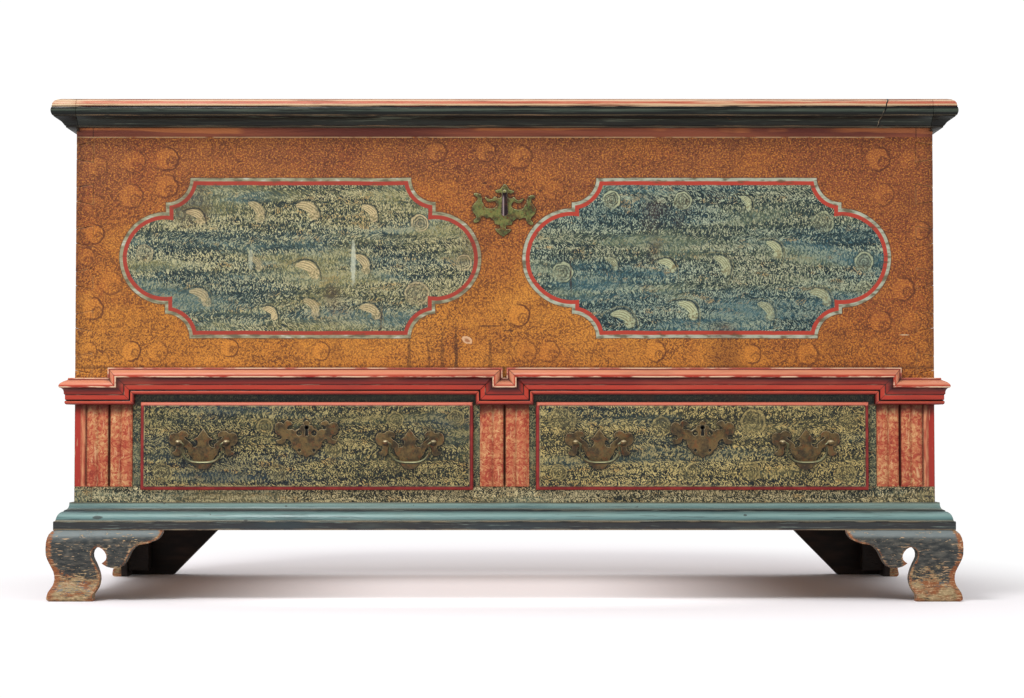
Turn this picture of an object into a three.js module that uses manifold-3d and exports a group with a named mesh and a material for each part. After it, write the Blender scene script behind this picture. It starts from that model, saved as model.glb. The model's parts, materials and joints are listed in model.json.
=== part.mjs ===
// A painted mule chest: a lidded chest over two lipped drawers, on ogee bracket feet.
// Millimetres. +X runs to the right, the front faces -Y, +Z is up and the floor is at Z = 0.
import * as THREE from "three";
import { mergeVertices } from "three/addons/utils/BufferGeometryUtils.js";
import Module from "manifold-3d";

const wasm = await Module();
wasm.setup();

// Case, with its heights counted upwards from the feet
const caseWidth = 1241;
const caseDepth = 538;
const footHeight = 101.3;
const baseHeight = 38.9;
const railHeight = 22.7;
const openingHeight = 116.7;
const chestHeight = 428.4;
const endThickness = 25;
const frontThickness = 22;
const backThickness = 19;
const floorThickness = 16;
const centreStileWidth = 100.1;
const sideStileWidth = 76.15;
const guideHeight = 24;

// Joinery
const seatGap = 0.3;
const overrun = 6;
const caseTails = 7;
const backTails = 10;
const drawerTails = 3;
const tailRootShare = 0.5;
const tailTipShare = 0.66;

// Reeded pilasters
const pilasterInset = 1;
const pilasterRelief = 6;
const cornerStripWidth = 9.2;
const cornerBeadWidth = 7.5;
const reedWidth = 16.6;
const reedCount = 4;
const reedCrown = 3.2;
const reedEdge = 2.2;
const reedGroove = 1.6;

// Waist moulding, whose runs step up over the drawers
const waistHeight = 38.5;
const waistProjection = 20;
const waistRise = 14.5;
const waistSeat = 1.3;
const waistReveal = 3;
const waistNotch = 6.4;

// Base moulding and feet
const baseProjection = 24.9;
const footProjection = 33.5;
const footThickness = 26;
const ogeeDepth = 10.8;
const footLength = 164.6;
const glueBlock = 32;
const glueBlockLift = 9;
const rearPadLength = 69;
const rearBracketLength = 169;
const rearBracketThickness = 19;

// Lid
const lidThickness = 13.7;
const lidDrop = 27.1;
const lidOverhang = 31.7;
const lidEdgeSetback = 1.5;
const lidClearance = 1.5;
const battenLap = 4;
const battenStep = 0.3;
const battenHang = 4.7;

// Strap hinges
const hingeSpread = 800;
const strapWidth = 34;
const strapLength = 300;
const leafLength = 210;
const strapThickness = 3;
const knuckleRadius = 6;
const pinRadius = 2.7;
const notchMargin = 1;

// Chest lock, with its keeper on the lid
const lockPlateWidth = 150;
const lockPlateHeight = 182;
const lockPlateThickness = 2;
const lockBoxWidth = 112;
const lockBoxHeight = 150;
const lockBoxDepth = 17;
const lockTopGap = 14;
const lockKeyHeight = 144.5;
const keeperWidth = 60;
const keeperDepth = 26;
const keeperThickness = 3;
const tongueWidth = 30;
const tongueLength = 26;
const tongueSlot = 7;

// Drawers
const lipOverlap = 5;
const lipThickness = 9;
const lipBead = 5.4;
const lipEdge = 3.4;
const lipStep = 1.2;
const drawerClearance = 1;
const drawerFrontBody = 13;
const drawerBackRoom = 35;
const drawerSideThickness = 12;
const drawerSideHeight = 108;
const drawerBottomThickness = 8;
const drawerBottomLift = 8;
const drawerGroove = 5;
const drawerTailLength = 9;

// Drawer locks
const drawerLockWidth = 66;
const drawerLockHeight = 46;
const drawerLockDepth = 12;
const drawerLockFlange = 12;
const drawerLockPlate = 2;

// Brasses
const plateThickness = 1.7;
const pullSpread = 297;
const pullHeight = 62.8;
const pullPlateWidth = 98;
const pullPlateHeight = 57.8;
const postSpacing = 68.7;
const postRadius = 2.6;
const ballRadius = 4.6;
const postLength = 11.5;
const rosetteRadius = 4.2;
const bailPinRadius = 1.35;
const bailRadius = 1.9;
const bailDrop = 28.4;
const bailHalfWidth = 28.6;
const bailPinReach = 4;
const keyHeight = 84.9;
const escutcheonWidth = 92;
const escutcheonHeight = 54.2;
const piercingRadius = 4.2;
const smallPiercingRadius = 2.5;
const keyholeRadius = 3.5;
const keyholeLength = 12;
const keyholeNeck = 3.6;
const keyholeFoot = 5.2;
const keyBoreRadius = 2.4;
const chestPlateWidth = 93.2;
const chestPlateHeight = 76.7;
const coverLength = 38.3;
const coverTopRadius = 3.1;
const coverFootRadius = 5;
const coverThickness = 3;
const coverPinRadius = 1.3;
const coverPinHead = 2.5;

// Levels and planes worked out from the sizes above
const halfCase = caseWidth / 2;
const baseTop = footHeight + baseHeight;
const openingBottom = baseTop + railHeight;
const openingTop = openingBottom + openingHeight;
const caseTop = openingTop + chestHeight;
const lidBottom = caseTop + seatGap;
const lidTop = lidBottom + lidThickness;
const barrelReach = 2 * knuckleRadius + seatGap;
const overallDepth = footProjection + caseDepth + barrelReach;
const frontY = footProjection - overallDepth / 2;
const backY = frontY + caseDepth;
const innerX = halfCase - endThickness;
const openingInnerX = centreStileWidth / 2;
const openingOuterX = innerX - sideStileWidth;
const openingWidth = openingOuterX - openingInnerX;
const drawerCentreX = (openingInnerX + openingOuterX) / 2;
const waistLowTop = openingTop + waistSeat + waistHeight;
const sidePilasterWidth = cornerStripWidth + cornerBeadWidth + reedCount * reedWidth;
const centrePilasterWidth = 2 * reedEdge + reedCount * reedWidth;
const pilasterInnerX = halfCase - pilasterInset - sidePilasterWidth;
const waistBreakX = pilasterInnerX + waistHeight - waistReveal;
const pinY = backY + knuckleRadius + seatGap;
const pinZ = lidBottom - knuckleRadius;
const footInner = footProjection - footThickness;
const battenInnerX = halfCase - battenLap - battenStep;
const drawerDepth = caseDepth - backThickness - drawerBackRoom;

// Outlines, as shares of the size that each follows

// The waist moulding, out from the case and down from its top
function waistOutline() {
  const path = new THREE.Path();
  path.moveTo(0, 0);
  path.lineTo(0.43, 0);
  path.lineTo(0.43, 0.075);
  path.quadraticCurveTo(0.88, 0.16, 0.97, 0.26);
  path.quadraticCurveTo(1.03, 0.33, 0.95, 0.37);
  path.lineTo(0.86, 0.38);
  path.quadraticCurveTo(0.66, 0.43, 0.67, 0.58);
  path.lineTo(0.67, 0.615);
  path.lineTo(0.6, 0.63);
  path.lineTo(0.6, 0.82);
  path.lineTo(0.5, 0.84);
  path.quadraticCurveTo(0.69, 0.86, 0.6, 0.97);
  path.lineTo(0.52, 1);
  path.lineTo(0, 1);
  return pointsOf(path, 4, waistProjection, waistHeight);
}

// The base moulding, out from the case and up from the top of the feet
function baseOutline() {
  const path = new THREE.Path();
  path.moveTo(0, 0);
  path.lineTo(1, 0);
  path.lineTo(1, 0.31);
  path.lineTo(0.89, 0.34);
  path.quadraticCurveTo(0.83, 0.64, 0.49, 0.68);
  path.lineTo(0.49, 0.715);
  path.lineTo(0.43, 0.725);
  path.quadraticCurveTo(0.24, 0.75, 0.23, 0.96);
  path.lineTo(0.23, 1);
  path.lineTo(0, 1);
  return pointsOf(path, 5, baseProjection, baseHeight);
}

// The rounded edge of the lid board, out from the case and up from its underside
function lidEdgeOutline() {
  const path = new THREE.Path();
  path.moveTo(1, 0);
  path.lineTo(1, 0.16);
  path.quadraticCurveTo(0.98, 0.98, 0.4, 1);
  return pointsOf(path, 5, lidOverhang - lidEdgeSetback, lidThickness);
}

// The moulding under the lid's edge, out from the case and down from the lid board
function lidMouldingOutline() {
  const path = new THREE.Path();
  path.moveTo(0.965, 0);
  path.quadraticCurveTo(1.04, 0.2, 0.94, 0.42);
  path.lineTo(0.88, 0.44);
  path.lineTo(0.88, 0.49);
  path.quadraticCurveTo(0.62, 0.6, 0.46, 0.91);
  path.lineTo(0.415, 0.92);
  path.lineTo(0.415, 1);
  return pointsOf(path, 5, lidOverhang, -lidDrop);
}

// The ogee face of a foot: how far it lies in from its furthest point, and its height
const footFaceShares = [
  [0.9, 1],
  [0.36, 0.945],
  [0.04, 0.83],
  [0.03, 0.66],
  [0.36, 0.545],
  [0.86, 0.42],
  [1, 0.31],
  [0.8, 0.22],
  [0.3, 0.13],
  [0.12, 0.055],
  [0.18, 0.02],
  [0.46, 0],
];

// The sawn edge of a bracket, in from the corner and up from the floor: pad, scroll, then wing
const footPadShares = [
  [0.406, 0],
  [0.402, 0.09],
  [0.44, 0.18],
  [0.459, 0.3],
  [0.449, 0.41],
  [0.42, 0.53],
  [0.394, 0.62],
  [0.399, 0.71],
  [0.44, 0.765],
  [0.49, 0.74],
  [0.525, 0.66],
  [0.52, 0.585],
  [0.482, 0.535],
];
const footWingShares = [
  [0.482, 0.535],
  [0.52, 0.49],
  [0.59, 0.463],
  [0.65, 0.49],
  [0.69, 0.57],
  [0.73, 0.7],
  [0.79, 0.79],
  [0.88, 0.815],
  [0.96, 0.87],
  [0.995, 0.95],
  [1, 1],
];

// A strap: half its width, and how far along it
const strapShares = [
  [1, 0],
  [0.56, 0.74],
  [0.3, 0.77],
  [0.86, 0.84],
  [0.5, 0.92],
  [0, 1],
];

// Bat-wing plate of a pull: out from its middle, and up from its posts
const pullPlateShares = [
  [0, 0.346],
  [0.09, 0.246],
  [0.165, 0.152],
  [0.285, 0.087],
  [0.18, 0.067],
  [0.157, 0.017],
  [0.165, -0.04],
  [0.21, -0.09],
  [0.326, -0.119],
  [0.318, -0.047],
  [0.377, 0.003],
  [0.43, 0.045],
  [0.513, 0.088],
  [0.565, 0.138],
  [0.505, 0.152],
  [0.455, 0.125],
  [0.43, 0.216],
  [0.497, 0.282],
  [0.6, 0.31],
  [0.685, 0.289],
  [0.744, 0.239],
  [0.8, 0.245],
  [0.872, 0.26],
  [0.948, 0.232],
  [1, 0.145],
  [1, 0.045],
  [0.948, -0.033],
  [0.872, -0.069],
  [0.804, -0.069],
  [0.796, -0.14],
  [0.837, -0.211],
  [0.922, -0.225],
  [0.889, -0.282],
  [0.804, -0.318],
  [0.701, -0.318],
  [0.65, -0.254],
  [0.65, -0.154],
  [0.625, -0.097],
  [0.565, -0.083],
  [0.464, -0.14],
  [0.412, -0.268],
  [0.309, -0.382],
  [0.25, -0.53],
  [0.15, -0.63],
  [0, -0.654],
];

// Arm of a bail, from just under its pin to the middle of the grip
const bailShares = [
  [0.955, -0.2],
  [1, -0.42],
  [0.92, -0.66],
  [0.7, -0.88],
  [0.36, -0.985],
  [0, -1],
];

// Keyhole plate of a drawer: out from its middle, and up from the keyhole's round
const escutcheonShares = [
  [0, 0.201],
  [0.059, 0.159],
  [0.126, 0.107],
  [0.076, 0.072],
  [0.178, 0.05],
  [0.211, -0.015],
  [0.28, -0.042],
  [0.365, -0.094],
  [0.398, -0.065],
  [0.465, -0.042],
  [0.567, -0.057],
  [0.611, -0.042],
  [0.602, 0.022],
  [0.55, 0.057],
  [0.483, 0.065],
  [0.433, 0.087],
  [0.45, 0.129],
  [0.517, 0.173],
  [0.611, 0.194],
  [0.67, 0.159],
  [0.711, 0.085],
  [0.74, 0.11],
  [0.787, 0.137],
  [0.889, 0.137],
  [0.965, 0.094],
  [1, -0.007],
  [0.974, -0.122],
  [0.907, -0.194],
  [0.804, -0.208],
  [0.772, -0.251],
  [0.804, -0.31],
  [0.88, -0.323],
  [0.95, -0.33],
  [0.915, -0.417],
  [0.804, -0.439],
  [0.711, -0.424],
  [0.661, -0.367],
  [0.643, -0.303],
  [0.602, -0.303],
  [0.535, -0.33],
  [0.483, -0.382],
  [0.465, -0.467],
  [0.433, -0.539],
  [0.348, -0.59],
  [0.296, -0.655],
  [0.228, -0.72],
  [0.143, -0.72],
  [0.085, -0.747],
  [0, -0.799],
];
const piercingShares = [0.233, -0.144];
const smallPiercingShares = [0.226, -0.603];

// Keyhole plate of the chest: out from its middle, and up from mid-height
const chestPlateShares = [
  [0, 0.476],
  [0.05, 0.459],
  [0.094, 0.411],
  [0.14, 0.373],
  [0.227, 0.362],
  [0.298, 0.345],
  [0.264, 0.318],
  [0.191, 0.302],
  [0.1, 0.318],
  [0.085, 0.28],
  [0.085, 0.237],
  [0.14, 0.205],
  [0.21, 0.205],
  [0.298, 0.237],
  [0.369, 0.189],
  [0.44, 0.173],
  [0.513, 0.194],
  [0.592, 0.222],
  [0.584, 0.184],
  [0.53, 0.141],
  [0.44, 0.124],
  [0.335, 0.146],
  [0.281, 0.151],
  [0.227, 0.108],
  [0.219, 0.065],
  [0.264, 0.027],
  [0.352, 0.005],
  [0.44, 0],
  [0.547, 0.005],
  [0.618, 0.043],
  [0.646, 0.091],
  [0.7, 0.129],
  [0.708, 0.205],
  [0.751, 0.259],
  [0.833, 0.287],
  [0.929, 0.28],
  [0.957, 0.254],
  [0.903, 0.227],
  [0.833, 0.216],
  [0.833, 0.151],
  [0.921, 0.086],
  [0.983, 0.033],
  [1, -0.022],
  [0.938, -0.086],
  [0.85, -0.141],
  [0.841, -0.184],
  [0.921, -0.232],
  [0.921, -0.27],
  [0.85, -0.275],
  [0.762, -0.249],
  [0.717, -0.194],
  [0.689, -0.146],
  [0.601, -0.146],
  [0.521, -0.179],
  [0.423, -0.156],
  [0.335, -0.194],
  [0.281, -0.227],
  [0.264, -0.28],
  [0.157, -0.297],
  [0.103, -0.297],
  [0.077, -0.335],
  [0.086, -0.373],
  [0.157, -0.378],
  [0.245, -0.373],
  [0.21, -0.421],
  [0.14, -0.454],
  [0, -0.524],
];
const coverPivotShare = 0.33;

// Finishes
function finish(color, roughness, metalness) {
  return () => new THREE.MeshStandardMaterial({ color, roughness, metalness });
}
const ochrePaint = finish(0xa8642c, 0.6, 0);
const olivePaint = finish(0x4f5f4a, 0.6, 0);
const redPaint = finish(0xb9503c, 0.6, 0);
const reedPaint = finish(0xc8674e, 0.6, 0);
const bluePaint = finish(0x4f8a8c, 0.55, 0);
const darkPaint = finish(0x2c373d, 0.6, 0);
const blackGreenPaint = finish(0x1f2c2a, 0.5, 0);
const bareWood = finish(0x9a7448, 0.75, 0);
const agedBrass = finish(0x7a6237, 0.45, 0.9);
const greenBrass = finish(0x6c7a45, 0.55, 0.8);
const wroughtIron = finish(0x35302d, 0.6, 0.85);

// Points of a path that is drawn in shares, scaled to its real size
function pointsOf(path, steps, width, height) {
  return path.getPoints(steps).map((point) => [point.x * width, point.y * height]);
}

function scaled(shares, width, height) {
  return shares.map(([across, up]) => [across * width, up * height]);
}

// A smooth line through points, with so many steps between each two
function smooth(points, stepsEach) {
  const curve = new THREE.SplineCurve(points.map(([x, y]) => new THREE.Vector2(x, y)));
  return curve.getPoints(stepsEach * (points.length - 1)).map((point) => [point.x, point.y]);
}

// A whole outline from its right half, which runs from the top of the middle line to its foot
function mirrored(half) {
  const inner = half.slice(1, -1);
  return [...half, ...inner.reverse().map(([x, y]) => [-x, y])];
}

// A closed solid through rings of points: each station turns the outline into one ring
function sweep(outline, stations) {
  const flat = outline.map(([a, b]) => new THREE.Vector2(a, b));
  if (THREE.ShapeUtils.isClockWise(flat)) flat.reverse();
  const count = flat.length;
  const rings = stations.map((station) => flat.map((point) => station(point.x, point.y)));
  const index = [];
  for (let ring = 0; ring + 1 < rings.length; ring++) {
    for (let i = 0; i < count; i++) {
      const here = ring * count + i;
      const next = ring * count + ((i + 1) % count);
      index.push(here, next, next + count, here, next + count, here + count);
    }
  }
  const last = (rings.length - 1) * count;
  for (const [i, j, k] of THREE.ShapeUtils.triangulateShape(flat, [])) {
    index.push(i, k, j, last + i, last + j, last + k);
  }
  const geometry = new THREE.BufferGeometry();
  geometry.setAttribute("position", new THREE.Float32BufferAttribute(rings.flat(2), 3));
  geometry.setIndex(index);
  return facingOut(geometry);
}

// Turns a closed surface round if its faces point inwards
function facingOut(geometry) {
  const corner = [new THREE.Vector3(), new THREE.Vector3(), new THREE.Vector3()];
  const place = geometry.getAttribute("position");
  const index = geometry.index.array;
  let volume = 0;
  for (let i = 0; i < index.length; i += 3) {
    corner.forEach((point, k) => point.fromBufferAttribute(place, index[i + k]));
    volume += corner[0].dot(corner[1].clone().cross(corner[2]));
  }
  if (volume < 0) {
    for (let i = 0; i < index.length; i += 3) {
      [index[i + 1], index[i + 2]] = [index[i + 2], index[i + 1]];
    }
  }
  return geometry;
}

// A flat-sided block between six planes
function block([x0, x1], [y0, y1], [z0, z1]) {
  const corners = [
    [x0, y0],
    [x1, y0],
    [x1, y1],
    [x0, y1],
  ];
  return sweep(corners, [(x, y) => [x, y, z0], (x, y) => [x, y, z1]]);
}

// A plate cut to an outline in the XZ plane, its back at Y = 0 and its face towards -Y
function plate(outline, thickness, holes = []) {
  const shape = new THREE.Shape(outline.map(([x, z]) => new THREE.Vector2(x, z)));
  shape.holes = holes;
  const geometry = new THREE.ExtrudeGeometry(shape, { depth: thickness, bevelEnabled: false });
  return geometry.rotateX(Math.PI / 2);
}

function roundHole(x, z, radius, sides) {
  const hole = new THREE.Path();
  for (let i = 0; i < sides; i++) {
    const angle = (2 * Math.PI * i) / sides;
    const across = x + radius * Math.cos(angle);
    const up = z + radius * Math.sin(angle);
    if (i === 0) hole.moveTo(across, up);
    else hole.lineTo(across, up);
  }
  return hole;
}

// A rod along X, Y or Z between two places on its axis
function rod(axis, [from, to], radius, sides, place = [0, 0, 0]) {
  const ring = [];
  for (let i = 0; i < sides; i++) {
    const angle = (2 * Math.PI * i) / sides;
    ring.push([radius * Math.cos(angle), radius * Math.sin(angle)]);
  }
  const [x, y, z] = place;
  const ends = {
    x: (along) => (a, b) => [x + along, y + a, z + b],
    y: (along) => (a, b) => [x + a, y + along, z + b],
    z: (along) => (a, b) => [x + a, y + b, z + along],
  };
  return sweep(ring, [ends[axis](from), ends[axis](to)]);
}

// A turned piece about the Y axis from pairs of radius and place, closed on the axis
function turned(pairs, sides) {
  const points = pairs.map(([radius, along]) => new THREE.Vector2(radius, along));
  const geometry = new THREE.LatheGeometry(points, sides);
  return facingOut(weld(geometry));
}

function weld(geometry) {
  const bare = geometry.clone();
  bare.deleteAttribute("normal");
  bare.deleteAttribute("uv");
  return mergeVertices(bare, 1e-4);
}

function solid(shape) {
  if (!shape.isBufferGeometry) return shape;
  const bare = weld(shape);
  return new wasm.Manifold(
    new wasm.Mesh({
      numProp: 3,
      vertProperties: new Float32Array(bare.getAttribute("position").array),
      triVerts: new Uint32Array(bare.index.array),
    }),
  );
}

function join(first, ...others) {
  return others.reduce((whole, piece) => whole.add(solid(piece)), solid(first));
}

function cut(first, ...others) {
  return others.reduce((whole, piece) => whole.subtract(solid(piece)), solid(first));
}

function common(first, second) {
  return solid(first).intersect(solid(second));
}

// One named piece with its own material
function piece(group, name, material, shape) {
  let geometry = shape;
  if (!shape.isBufferGeometry) {
    const mesh = shape.getMesh();
    geometry = new THREE.BufferGeometry();
    geometry.setAttribute("position", new THREE.BufferAttribute(mesh.vertProperties, 3));
    geometry.setIndex(new THREE.BufferAttribute(mesh.triVerts, 1));
  }
  geometry.computeVertexNormals();
  const made = new THREE.Mesh(geometry, material());
  made.name = name;
  group.add(made);
}

// Dovetails between two heights: wedges that run from their root to their tip.
// The gap widens them, for cutting the sockets that they fit.
function tails(count, [low, high], [root, tip], [near, far], crosswise, gap = 0) {
  const pitch = (high - low) / count;
  const wedges = [];
  for (let i = 0; i < count; i++) {
    const middle = low + pitch * (i + 1 / 2);
    const rootHalf = (pitch * tailRootShare) / 2 + gap;
    const tipHalf = (pitch * tailTipShare) / 2 + gap;
    const outline = [
      [root, middle - rootHalf],
      [tip, middle - tipHalf],
      [tip, middle + tipHalf],
      [root, middle + rootHalf],
    ];
    const stations = [near, far].map((depth) =>
      crosswise ? (along, z) => [depth, along, z] : (along, z) => [along, depth, z],
    );
    wedges.push(sweep(outline, stations));
  }
  return wedges;
}

const sides = [
  ["left", -1],
  ["right", 1],
];

// The boards of the case
function addCase(group) {
  const frontFace = [frontY, frontY + frontThickness];
  const backFace = [backY - backThickness, backY];
  const chestLevels = [openingTop, caseTop];
  const backLevels = [footHeight, caseTop];
  const boardSpan = [-innerX, innerX];

  let front = solid(block(boardSpan, frontFace, chestLevels));
  let back = solid(block(boardSpan, backFace, backLevels));
  for (const [side, sign] of sides) {
    const reach = [sign * innerX, sign * halfCase];
    front = join(front, ...tails(caseTails, chestLevels, reach, frontFace, false));
    back = join(back, ...tails(backTails, backLevels, reach, backFace, false));
    const across = sign > 0 ? [innerX, halfCase] : [-halfCase, -innerX];
    const end = block(across, [frontY, backY], backLevels);
    const frontSockets = tails(
      caseTails,
      chestLevels,
      [sign * innerX, sign * halfCase],
      [frontY - overrun, frontY + frontThickness],
      false,
      seatGap,
    );
    const backSockets = tails(
      backTails,
      backLevels,
      [sign * innerX, sign * halfCase],
      [backY - backThickness, backY + overrun],
      false,
      seatGap,
    );
    piece(group, `${side}_end`, ochrePaint, cut(end, ...frontSockets, ...backSockets));
  }
  const keyZ = caseTop - lockKeyHeight;
  const through = [frontY - overrun, frontY + frontThickness + overrun];
  const keyBore = rod("y", through, keyBoreRadius, 8, [0, 0, keyZ]);
  piece(group, "front_board", ochrePaint, cut(front, keyBore));
  const halfNotch = strapWidth / 2 + notchMargin;
  const strapNotches = [-hingeSpread / 2, hingeSpread / 2].map((x) =>
    block(
      [x - halfNotch, x + halfNotch],
      [backY - backThickness - overrun, backY + overrun],
      [caseTop - strapThickness, caseTop + overrun],
    ),
  );
  piece(group, "back_board", bareWood, cut(back, ...strapNotches));

  const inside = [frontY + frontThickness, backY - backThickness];
  const floorLevels = [openingTop, openingTop + floorThickness];
  piece(group, "chest_floor", bareWood, block(boardSpan, inside, floorLevels));
  piece(group, "bottom_rail", olivePaint, block(boardSpan, frontFace, [footHeight, openingBottom]));

  // The bottom board, with the guides that the drawers run between
  const guideLevels = [openingBottom - floorThickness, openingBottom + guideHeight];
  const board = block(boardSpan, inside, [openingBottom - floorThickness, openingBottom]);
  const centreGuide = block([-openingInnerX, openingInnerX], inside, guideLevels);
  const leftGuide = block([-innerX, -openingOuterX], inside, guideLevels);
  const rightGuide = block([openingOuterX, innerX], inside, guideLevels);
  piece(group, "bottom_board", bareWood, join(board, centreGuide, leftGuide, rightGuide));
}

// Reeds side by side in plan, from one edge, with a deep groove at the middle of the set
function reeds(start, sign) {
  const ground = pilasterRelief - reedCrown;
  const steps = 6;
  const points = [];
  for (let reed = 0; reed < reedCount; reed++) {
    for (let step = 0; step <= steps; step++) {
      const share = step / steps;
      const edge = step === 0 || step === steps;
      const afterGroove = reed === reedCount / 2 && step === 0;
      const beforeGroove = reed === reedCount / 2 - 1 && step === steps;
      if (step === 0 && reed > 0 && !afterGroove) continue;
      let along = share * reedWidth;
      if (afterGroove) along += reedGroove / 2;
      if (beforeGroove) along -= reedGroove / 2;
      const out = edge ? ground : ground + reedCrown * Math.sqrt(Math.sin(Math.PI * share));
      points.push([start + sign * (reed * reedWidth + along), out]);
    }
    if (reed === reedCount / 2 - 1) {
      points.push([start + sign * (reed + 1) * reedWidth, reedGroove / 2]);
    }
  }
  return points;
}

// A reeded pilaster with the stile behind it, from its outline in plan
function pilaster(face, stileSpan) {
  const reedTop = waistLowTop - waistHeight - seatGap;
  const outline = [[face[0][0], 0], ...face, [face[face.length - 1][0], 0]];
  const stations = [openingBottom, reedTop].map((z) => (x, out) => [x, frontY - out, z]);
  const stile = block(stileSpan, [frontY, frontY + frontThickness], [openingBottom, openingTop]);
  return join(stile, sweep(outline, stations));
}

function addPilasters(group) {
  for (const [side, sign] of sides) {
    const outer = sign * (halfCase - pilasterInset);
    const bead = outer - sign * cornerStripWidth;
    const ground = pilasterRelief - reedCrown;
    const face = [
      [outer, ground],
      [bead, ground],
      [bead - sign * (cornerBeadWidth / 4), pilasterRelief - reedCrown / 4],
      [bead - sign * (cornerBeadWidth / 2), pilasterRelief],
      [bead - sign * (cornerBeadWidth * 3) / 4, pilasterRelief - reedCrown / 4],
      ...reeds(bead - sign * cornerBeadWidth, -sign),
    ];
    const span = sign > 0 ? [openingOuterX, innerX] : [-innerX, -openingOuterX];
    piece(group, `${side}_pilaster`, reedPaint, pilaster(face, span));
  }
  const edge = -centrePilasterWidth / 2;
  const ground = pilasterRelief - reedCrown;
  const face = [[edge, ground], ...reeds(edge + reedEdge, 1), [-edge, ground]];
  piece(group, "centre_pilaster", reedPaint, pilaster(face, [-openingInnerX, openingInnerX]));
}

// The waist moulding: its outline goes out from the case and down from the top of the run.
// At a break the outline is cut across at 45 degrees, so each line of it turns at its own place.
function addWaistMoulding(group) {
  const outline = waistOutline();
  const highTop = waistLowTop + waistRise;
  const half = seatGap / 2;
  const notch = waistNotch / 2;
  const ring = (place, top) => (out, down) => [place(out, down), frontY - out, top - down];
  for (const [side, sign] of sides) {
    const run = [
      ring((out) => sign * (halfCase + out - half), waistLowTop),
      ring((out, down) => sign * (waistBreakX - down), waistLowTop),
      ring((out, down) => sign * (waistBreakX - down), highTop),
      ring((out, down) => sign * (notch + down + half), highTop),
    ];
    piece(group, `waist_moulding_${side}`, redPaint, sweep(outline, run));
    const back = [
      (out, down) => [sign * (halfCase + out), frontY - out + half, waistLowTop - down],
      (out, down) => [sign * (halfCase + out), backY, waistLowTop - down],
    ];
    piece(group, `waist_return_${side}`, redPaint, sweep(outline, back));
  }
  const centre = [
    ring((out, down) => -notch - down + half, highTop),
    ring((out, down) => -notch - down + half, waistLowTop),
    ring((out, down) => notch + down - half, waistLowTop),
    ring((out, down) => notch + down - half, highTop),
  ];
  piece(group, "waist_moulding_centre", redPaint, sweep(outline, centre));
}

function addBaseMoulding(group) {
  const outline = baseOutline();
  const half = seatGap / 2;
  const front = [-1, 1].map((sign) => (out, up) => [
    sign * (halfCase + out - half),
    frontY - out,
    footHeight + up,
  ]);
  piece(group, "base_moulding_front", bluePaint, sweep(outline, front));
  for (const [side, sign] of sides) {
    const back = [
      (out, up) => [sign * (halfCase + out), frontY - out + half, footHeight + up],
      (out, up) => [sign * (halfCase + out), backY, footHeight + up],
    ];
    piece(group, `base_moulding_${side}`, bluePaint, sweep(outline, back));
  }
}

// The face of a foot, out from the case and up from the floor, closed by its flat inner side
function footFace() {
  const face = smooth(scaled(footFaceShares, -ogeeDepth, footHeight), 2);
  const outer = face.map(([inset, z]) => [
    footProjection + Math.min(inset, 0),
    Math.min(Math.max(z, 0), footHeight),
  ]);
  return [...outer, [footInner, 0], [footInner, footHeight]];
}

// The sawn shape of a bracket, in from its corner and up from the floor, with room to cut
function bracketOutline() {
  const pad = smooth(scaled(footPadShares, footLength, footHeight), 2);
  const wing = smooth(scaled(footWingShares, footLength, footHeight), 2);
  return [
    [-overrun, -overrun],
    [pad[0][0], -overrun],
    ...pad,
    ...wing.slice(1),
    [footLength, footHeight + overrun],
    [-overrun, footHeight + overrun],
  ];
}

// Ogee brackets, mitred at the front corners and square at the back ones, with their glue blocks
function addFeet(group) {
  const face = footFace();
  const saw = bracketOutline();
  const cornerX = halfCase + footProjection;
  const cornerY = frontY - footProjection;
  const innerFace = halfCase + footInner;
  const half = seatGap / 2;
  const blockLevels = [glueBlockLift, footHeight];
  const reach = footLength + overrun;

  for (const [side, sign] of sides) {
    const frontRun = sweep(face, [
      (out, z) => [sign * (halfCase + out - half), frontY - out, z],
      (out, z) => [sign * (cornerX - reach), frontY - out, z],
    ]);
    const frontSaw = sweep(saw, [
      (along, z) => [sign * (cornerX - along), cornerY - overrun, z],
      (along, z) => [sign * (cornerX - along), frontY, z],
    ]);
    const blockX = [sign * (innerFace - seatGap), sign * (innerFace - glueBlock)];
    const cornerBlock = block(
      sign > 0 ? blockX.reverse() : blockX,
      [frontY - footInner, frontY - footInner + glueBlock],
      blockLevels,
    );
    piece(group, `front_foot_${side}_face`, darkPaint, join(common(frontRun, frontSaw), cornerBlock));

    const sideRun = sweep(face, [
      (out, z) => [sign * (halfCase + out), frontY - out + half, z],
      (out, z) => [sign * (halfCase + out), cornerY + reach, z],
    ]);
    const sideSaw = sweep(saw, [
      (along, z) => [sign * (cornerX + overrun), cornerY + along, z],
      (along, z) => [sign * halfCase, cornerY + along, z],
    ]);
    piece(group, `front_foot_${side}_side`, darkPaint, common(sideRun, sideSaw));

    const rearRun = sweep(face, [
      (out, z) => [sign * (halfCase + out), backY - reach, z],
      (out, z) => [sign * (halfCase + out), backY, z],
    ]);
    const rearSaw = sweep(saw, [
      (along, z) => [sign * (cornerX + overrun), backY - along, z],
      (along, z) => [sign * halfCase, backY - along, z],
    ]);
    const rearPlane = backY - rearBracketThickness;
    const rearX = [sign * innerFace, sign * (innerFace - glueBlock)];
    const rearBlock = block(
      sign > 0 ? rearX.reverse() : rearX,
      [rearPlane - glueBlock, rearPlane - seatGap],
      blockLevels,
    );
    piece(group, `rear_foot_${side}_side`, darkPaint, join(common(rearRun, rearSaw), rearBlock));

    const board = [
      [innerFace - seatGap, 0],
      [innerFace - rearPadLength, 0],
      [innerFace - rearBracketLength, footHeight],
      [innerFace - seatGap, footHeight],
    ];
    const rearBoard = sweep(board, [
      (x, z) => [sign * x, rearPlane, z],
      (x, z) => [sign * x, backY, z],
    ]);
    piece(group, `rear_foot_${side}_back`, darkPaint, rearBoard);
  }
}

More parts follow.
